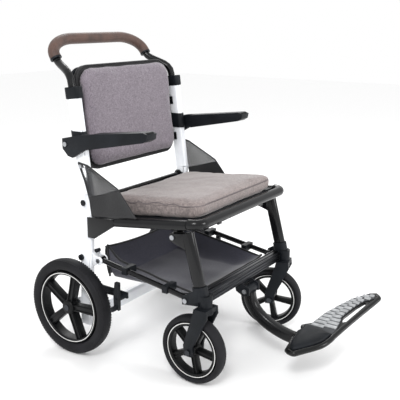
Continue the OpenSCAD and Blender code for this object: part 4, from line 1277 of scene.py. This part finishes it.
PLATE_ROLL = math.radians(8.5)
PLATE_LIFT = 0.004
PLATE_THICK = 0.008
PLATE_SET = 0.029
PLATE_DEPTH = 0.118
plate_frame = Matrix.Translation((0, 0, plate_hinge.z + PLATE_LIFT)) @ Matrix.Rotation(-PLATE_ROLL, 4, "Y")
plate_back = plate_hinge.y - PLATE_SET
plate_front = plate_back - PLATE_DEPTH
plate_alloy = coated("plate_alloy", (6, 7, 7), (12, 13, 13), 900, 0.0001, 0.16, 0.28, shine=0.3)
eased("footplate_frame", plate_alloy, 0.0015)

EDGE_TUBE = 0.0082
EDGE_HEIGHT = 0.003
edge_run = smooth_path([(x, y, EDGE_HEIGHT) for x, y in (
    (-0.101, plate_back + 0.010), (-0.1035, plate_back - 0.008), (-0.090, plate_back - 0.020),
    (-0.040, plate_back - 0.058), (-0.004, plate_back - 0.070), (0.034, plate_back - 0.074),
    (0.130, plate_back - 0.088), (0.262, plate_front + 0.0075), (0.282, plate_front + 0.010),
    (0.292, plate_front + 0.021))], 7)
edge_mesh = swept("footplate_edge", edge_run, EDGE_TUBE, EDGE_TUBE, (0, 0, 1), 18)
edge_mesh.transform(plate_frame)
fitted(new_piece("footplate_edge", edge_mesh, plate_alloy), "footplate", 50)


def tread_rubber():
    """Grey rubber, scuffed paler in patches."""
    material, tree, shader = new_material("tread_rubber")
    scuff = noise_in(tree, 70, 7)
    coloured(tree, shader, scuff, 0.35, 0.7, (140, 142, 144), (178, 180, 182))
    bumped(tree, shader, noise_in(tree, 1200, 3), 0.0002)
    shader.inputs["Roughness"].default_value = 0.7
    return material


pad_grey = tread_rubber()
# painted shade: the pad's floor between the grey ribs is coloured dark grey for the shade in the slots
pad_groove_painted_shade = coated("pad_groove_painted_shade", (44, 45, 48), (62, 64, 67), 1200, 0.0002, 0.6, 0.75)
eased("footplate_pad", pad_groove_painted_shade, 0.001)
PAD_BACK = [(0.040, plate_back + 0.008), (0.062, plate_back + 0.006), (0.118, plate_back - 0.004),
            (0.180, plate_back - 0.024), (0.236, plate_back - 0.046), (0.280, plate_front + 0.039),
            (0.284, plate_front + 0.021)]
PAD_FRONT = [(0.022, plate_back - 0.068), (0.048, plate_back - 0.070), (0.092, plate_back - 0.064),
             (0.118, plate_back - 0.057), (0.188, plate_back - 0.069), (0.232, plate_front + 0.036),
             (0.262, plate_front + 0.013), (0.284, plate_front + 0.021)]


def edge_at(line, x):
    """The y of a line of (x, y) points at x."""
    for (x0, y0), (x1, y1) in zip(line, line[1:]):
        if x0 <= x <= x1:
            return y0 + (y1 - y0) * (x - x0) / (x1 - x0)
    return line[0][1] if x < line[0][0] else line[-1][1]


RIB_PITCH = 0.0196
RIB_HALF = 0.0073
RIB_HIGH = 0.0022
RIB_MARGIN = 0.0015
RIB_SHORTEST = 0.008
RIBS_FROM = 0.046
RIBS_TO = 0.284
rib_top = PLATE_THICK + 0.003
rib_shape = bmesh.new()
for k in range(int((RIBS_TO - RIBS_FROM) / RIB_PITCH)):
    for stage in (0, 1):
        x = RIBS_FROM + RIB_PITCH * (k + 0.5 * stage)
        back = edge_at(PAD_BACK, x) - RIB_MARGIN
        front = edge_at(PAD_FRONT, x) + RIB_MARGIN
        if back - front < RIB_SHORTEST:
            continue
        middle = (back + front) / 2
        y0, y1 = (middle - 0.001, back) if stage == 0 else (front, middle + 0.001)
        box_into(rib_shape, (x - RIB_HALF, y0, rib_top - 0.001), (x + RIB_HALF, y1, rib_top + RIB_HIGH))
rib_mesh = formed("footplate_ribs", rib_shape)
rib_mesh.transform(plate_frame)
ribs = bevelled(new_piece("footplate_ribs", rib_mesh, pad_grey), 0.0008, 2, 30)
fitted(ribs, "footplate")

hub_outline = [(-0.088, plate_back + 0.010, 0), (-0.094, plate_back - 0.008, 0),
               (-0.034, plate_back - 0.054, 0), (0.006, plate_back - 0.064, 0),
               (0.022, plate_back - 0.060, 0), (0.038, plate_back + 0.012, 0),
               (0.020, plate_back + 0.022, 0), (-0.050, plate_back + 0.020, 0)]
hub_smooth = [p.to_2d() for p in smooth_path(hub_outline + hub_outline[:1], 5)[:-1]]
hub_middle = sum(hub_smooth, Vector((0, 0))) / len(hub_smooth)
hub_layers = [(1.0, 0.0), (1.0, 0.004), (0.96, 0.007), (0.86, 0.0095), (0.68, 0.0112), (0.4, 0.012)]
hub_vertices = [tuple(hub_middle + (p - hub_middle) * size) + (PLATE_THICK + rise,)
                for size, rise in hub_layers for p in hub_smooth]
hub_mesh = solid_mesh("footplate_dome", hub_vertices, tube_faces(len(hub_layers), len(hub_smooth)))
hub_mesh.transform(plate_frame)
hub = fitted(new_piece("footplate_dome", hub_mesh, moulded), "footplate", 60)
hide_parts("footplate_hub")


# ---------------------------------------------------------------------------
# Studio. A pale floor under a bright sky and three soft lamps.
# ---------------------------------------------------------------------------

FLOOR_HALF = 9
floor_mesh = bpy.data.meshes.new("floor")
floor_mesh.from_pydata([(x * FLOOR_HALF, y * FLOOR_HALF, 0) for x, y in ((-1, -1), (1, -1), (1, 1), (-1, 1))],
                       [], [(0, 1, 2, 3)])
floor = bpy.data.objects.new("floor", floor_mesh)
scene.collection.objects.link(floor)
floor_material, _, floor_shader = new_material("studio_floor")
floor_shader.inputs["Base Color"].default_value = linear(250, 250, 250)
floor_shader.inputs["Roughness"].default_value = 0.9
floor_mesh.materials.append(floor_material)

world = bpy.data.worlds.new("studio")
world.use_nodes = True
world.node_tree.nodes["Background"].inputs["Color"].default_value = (1, 1, 1, 1)
world.node_tree.nodes["Background"].inputs["Strength"].default_value = 1.0
scene.world = world


def lamp(name, place, aim, size, power):
    """A square soft lamp that points at a place."""
    data = bpy.data.lights.new(name, "AREA")
    data.size = size
    data.energy = power
    thing = bpy.data.objects.new(name, data)
    thing.location = place
    thing.rotation_euler = (Vector(aim) - Vector(place)).to_track_quat("-Z", "Y").to_euler()
    scene.collection.objects.link(thing)


lamp("key", place=(-2.6, -1.2, 3.0), aim=(0, 0, 0.4), size=0.9, power=66)
lamp("fill", place=(0.6, -3.4, 1.8), aim=(0, 0, 0.4), size=1.0, power=44)
lamp("rim", place=(2.4, 2.0, 2.6), aim=(0, 0, 0.6), size=1.4, power=40)
scene.view_settings.view_transform = "Standard"
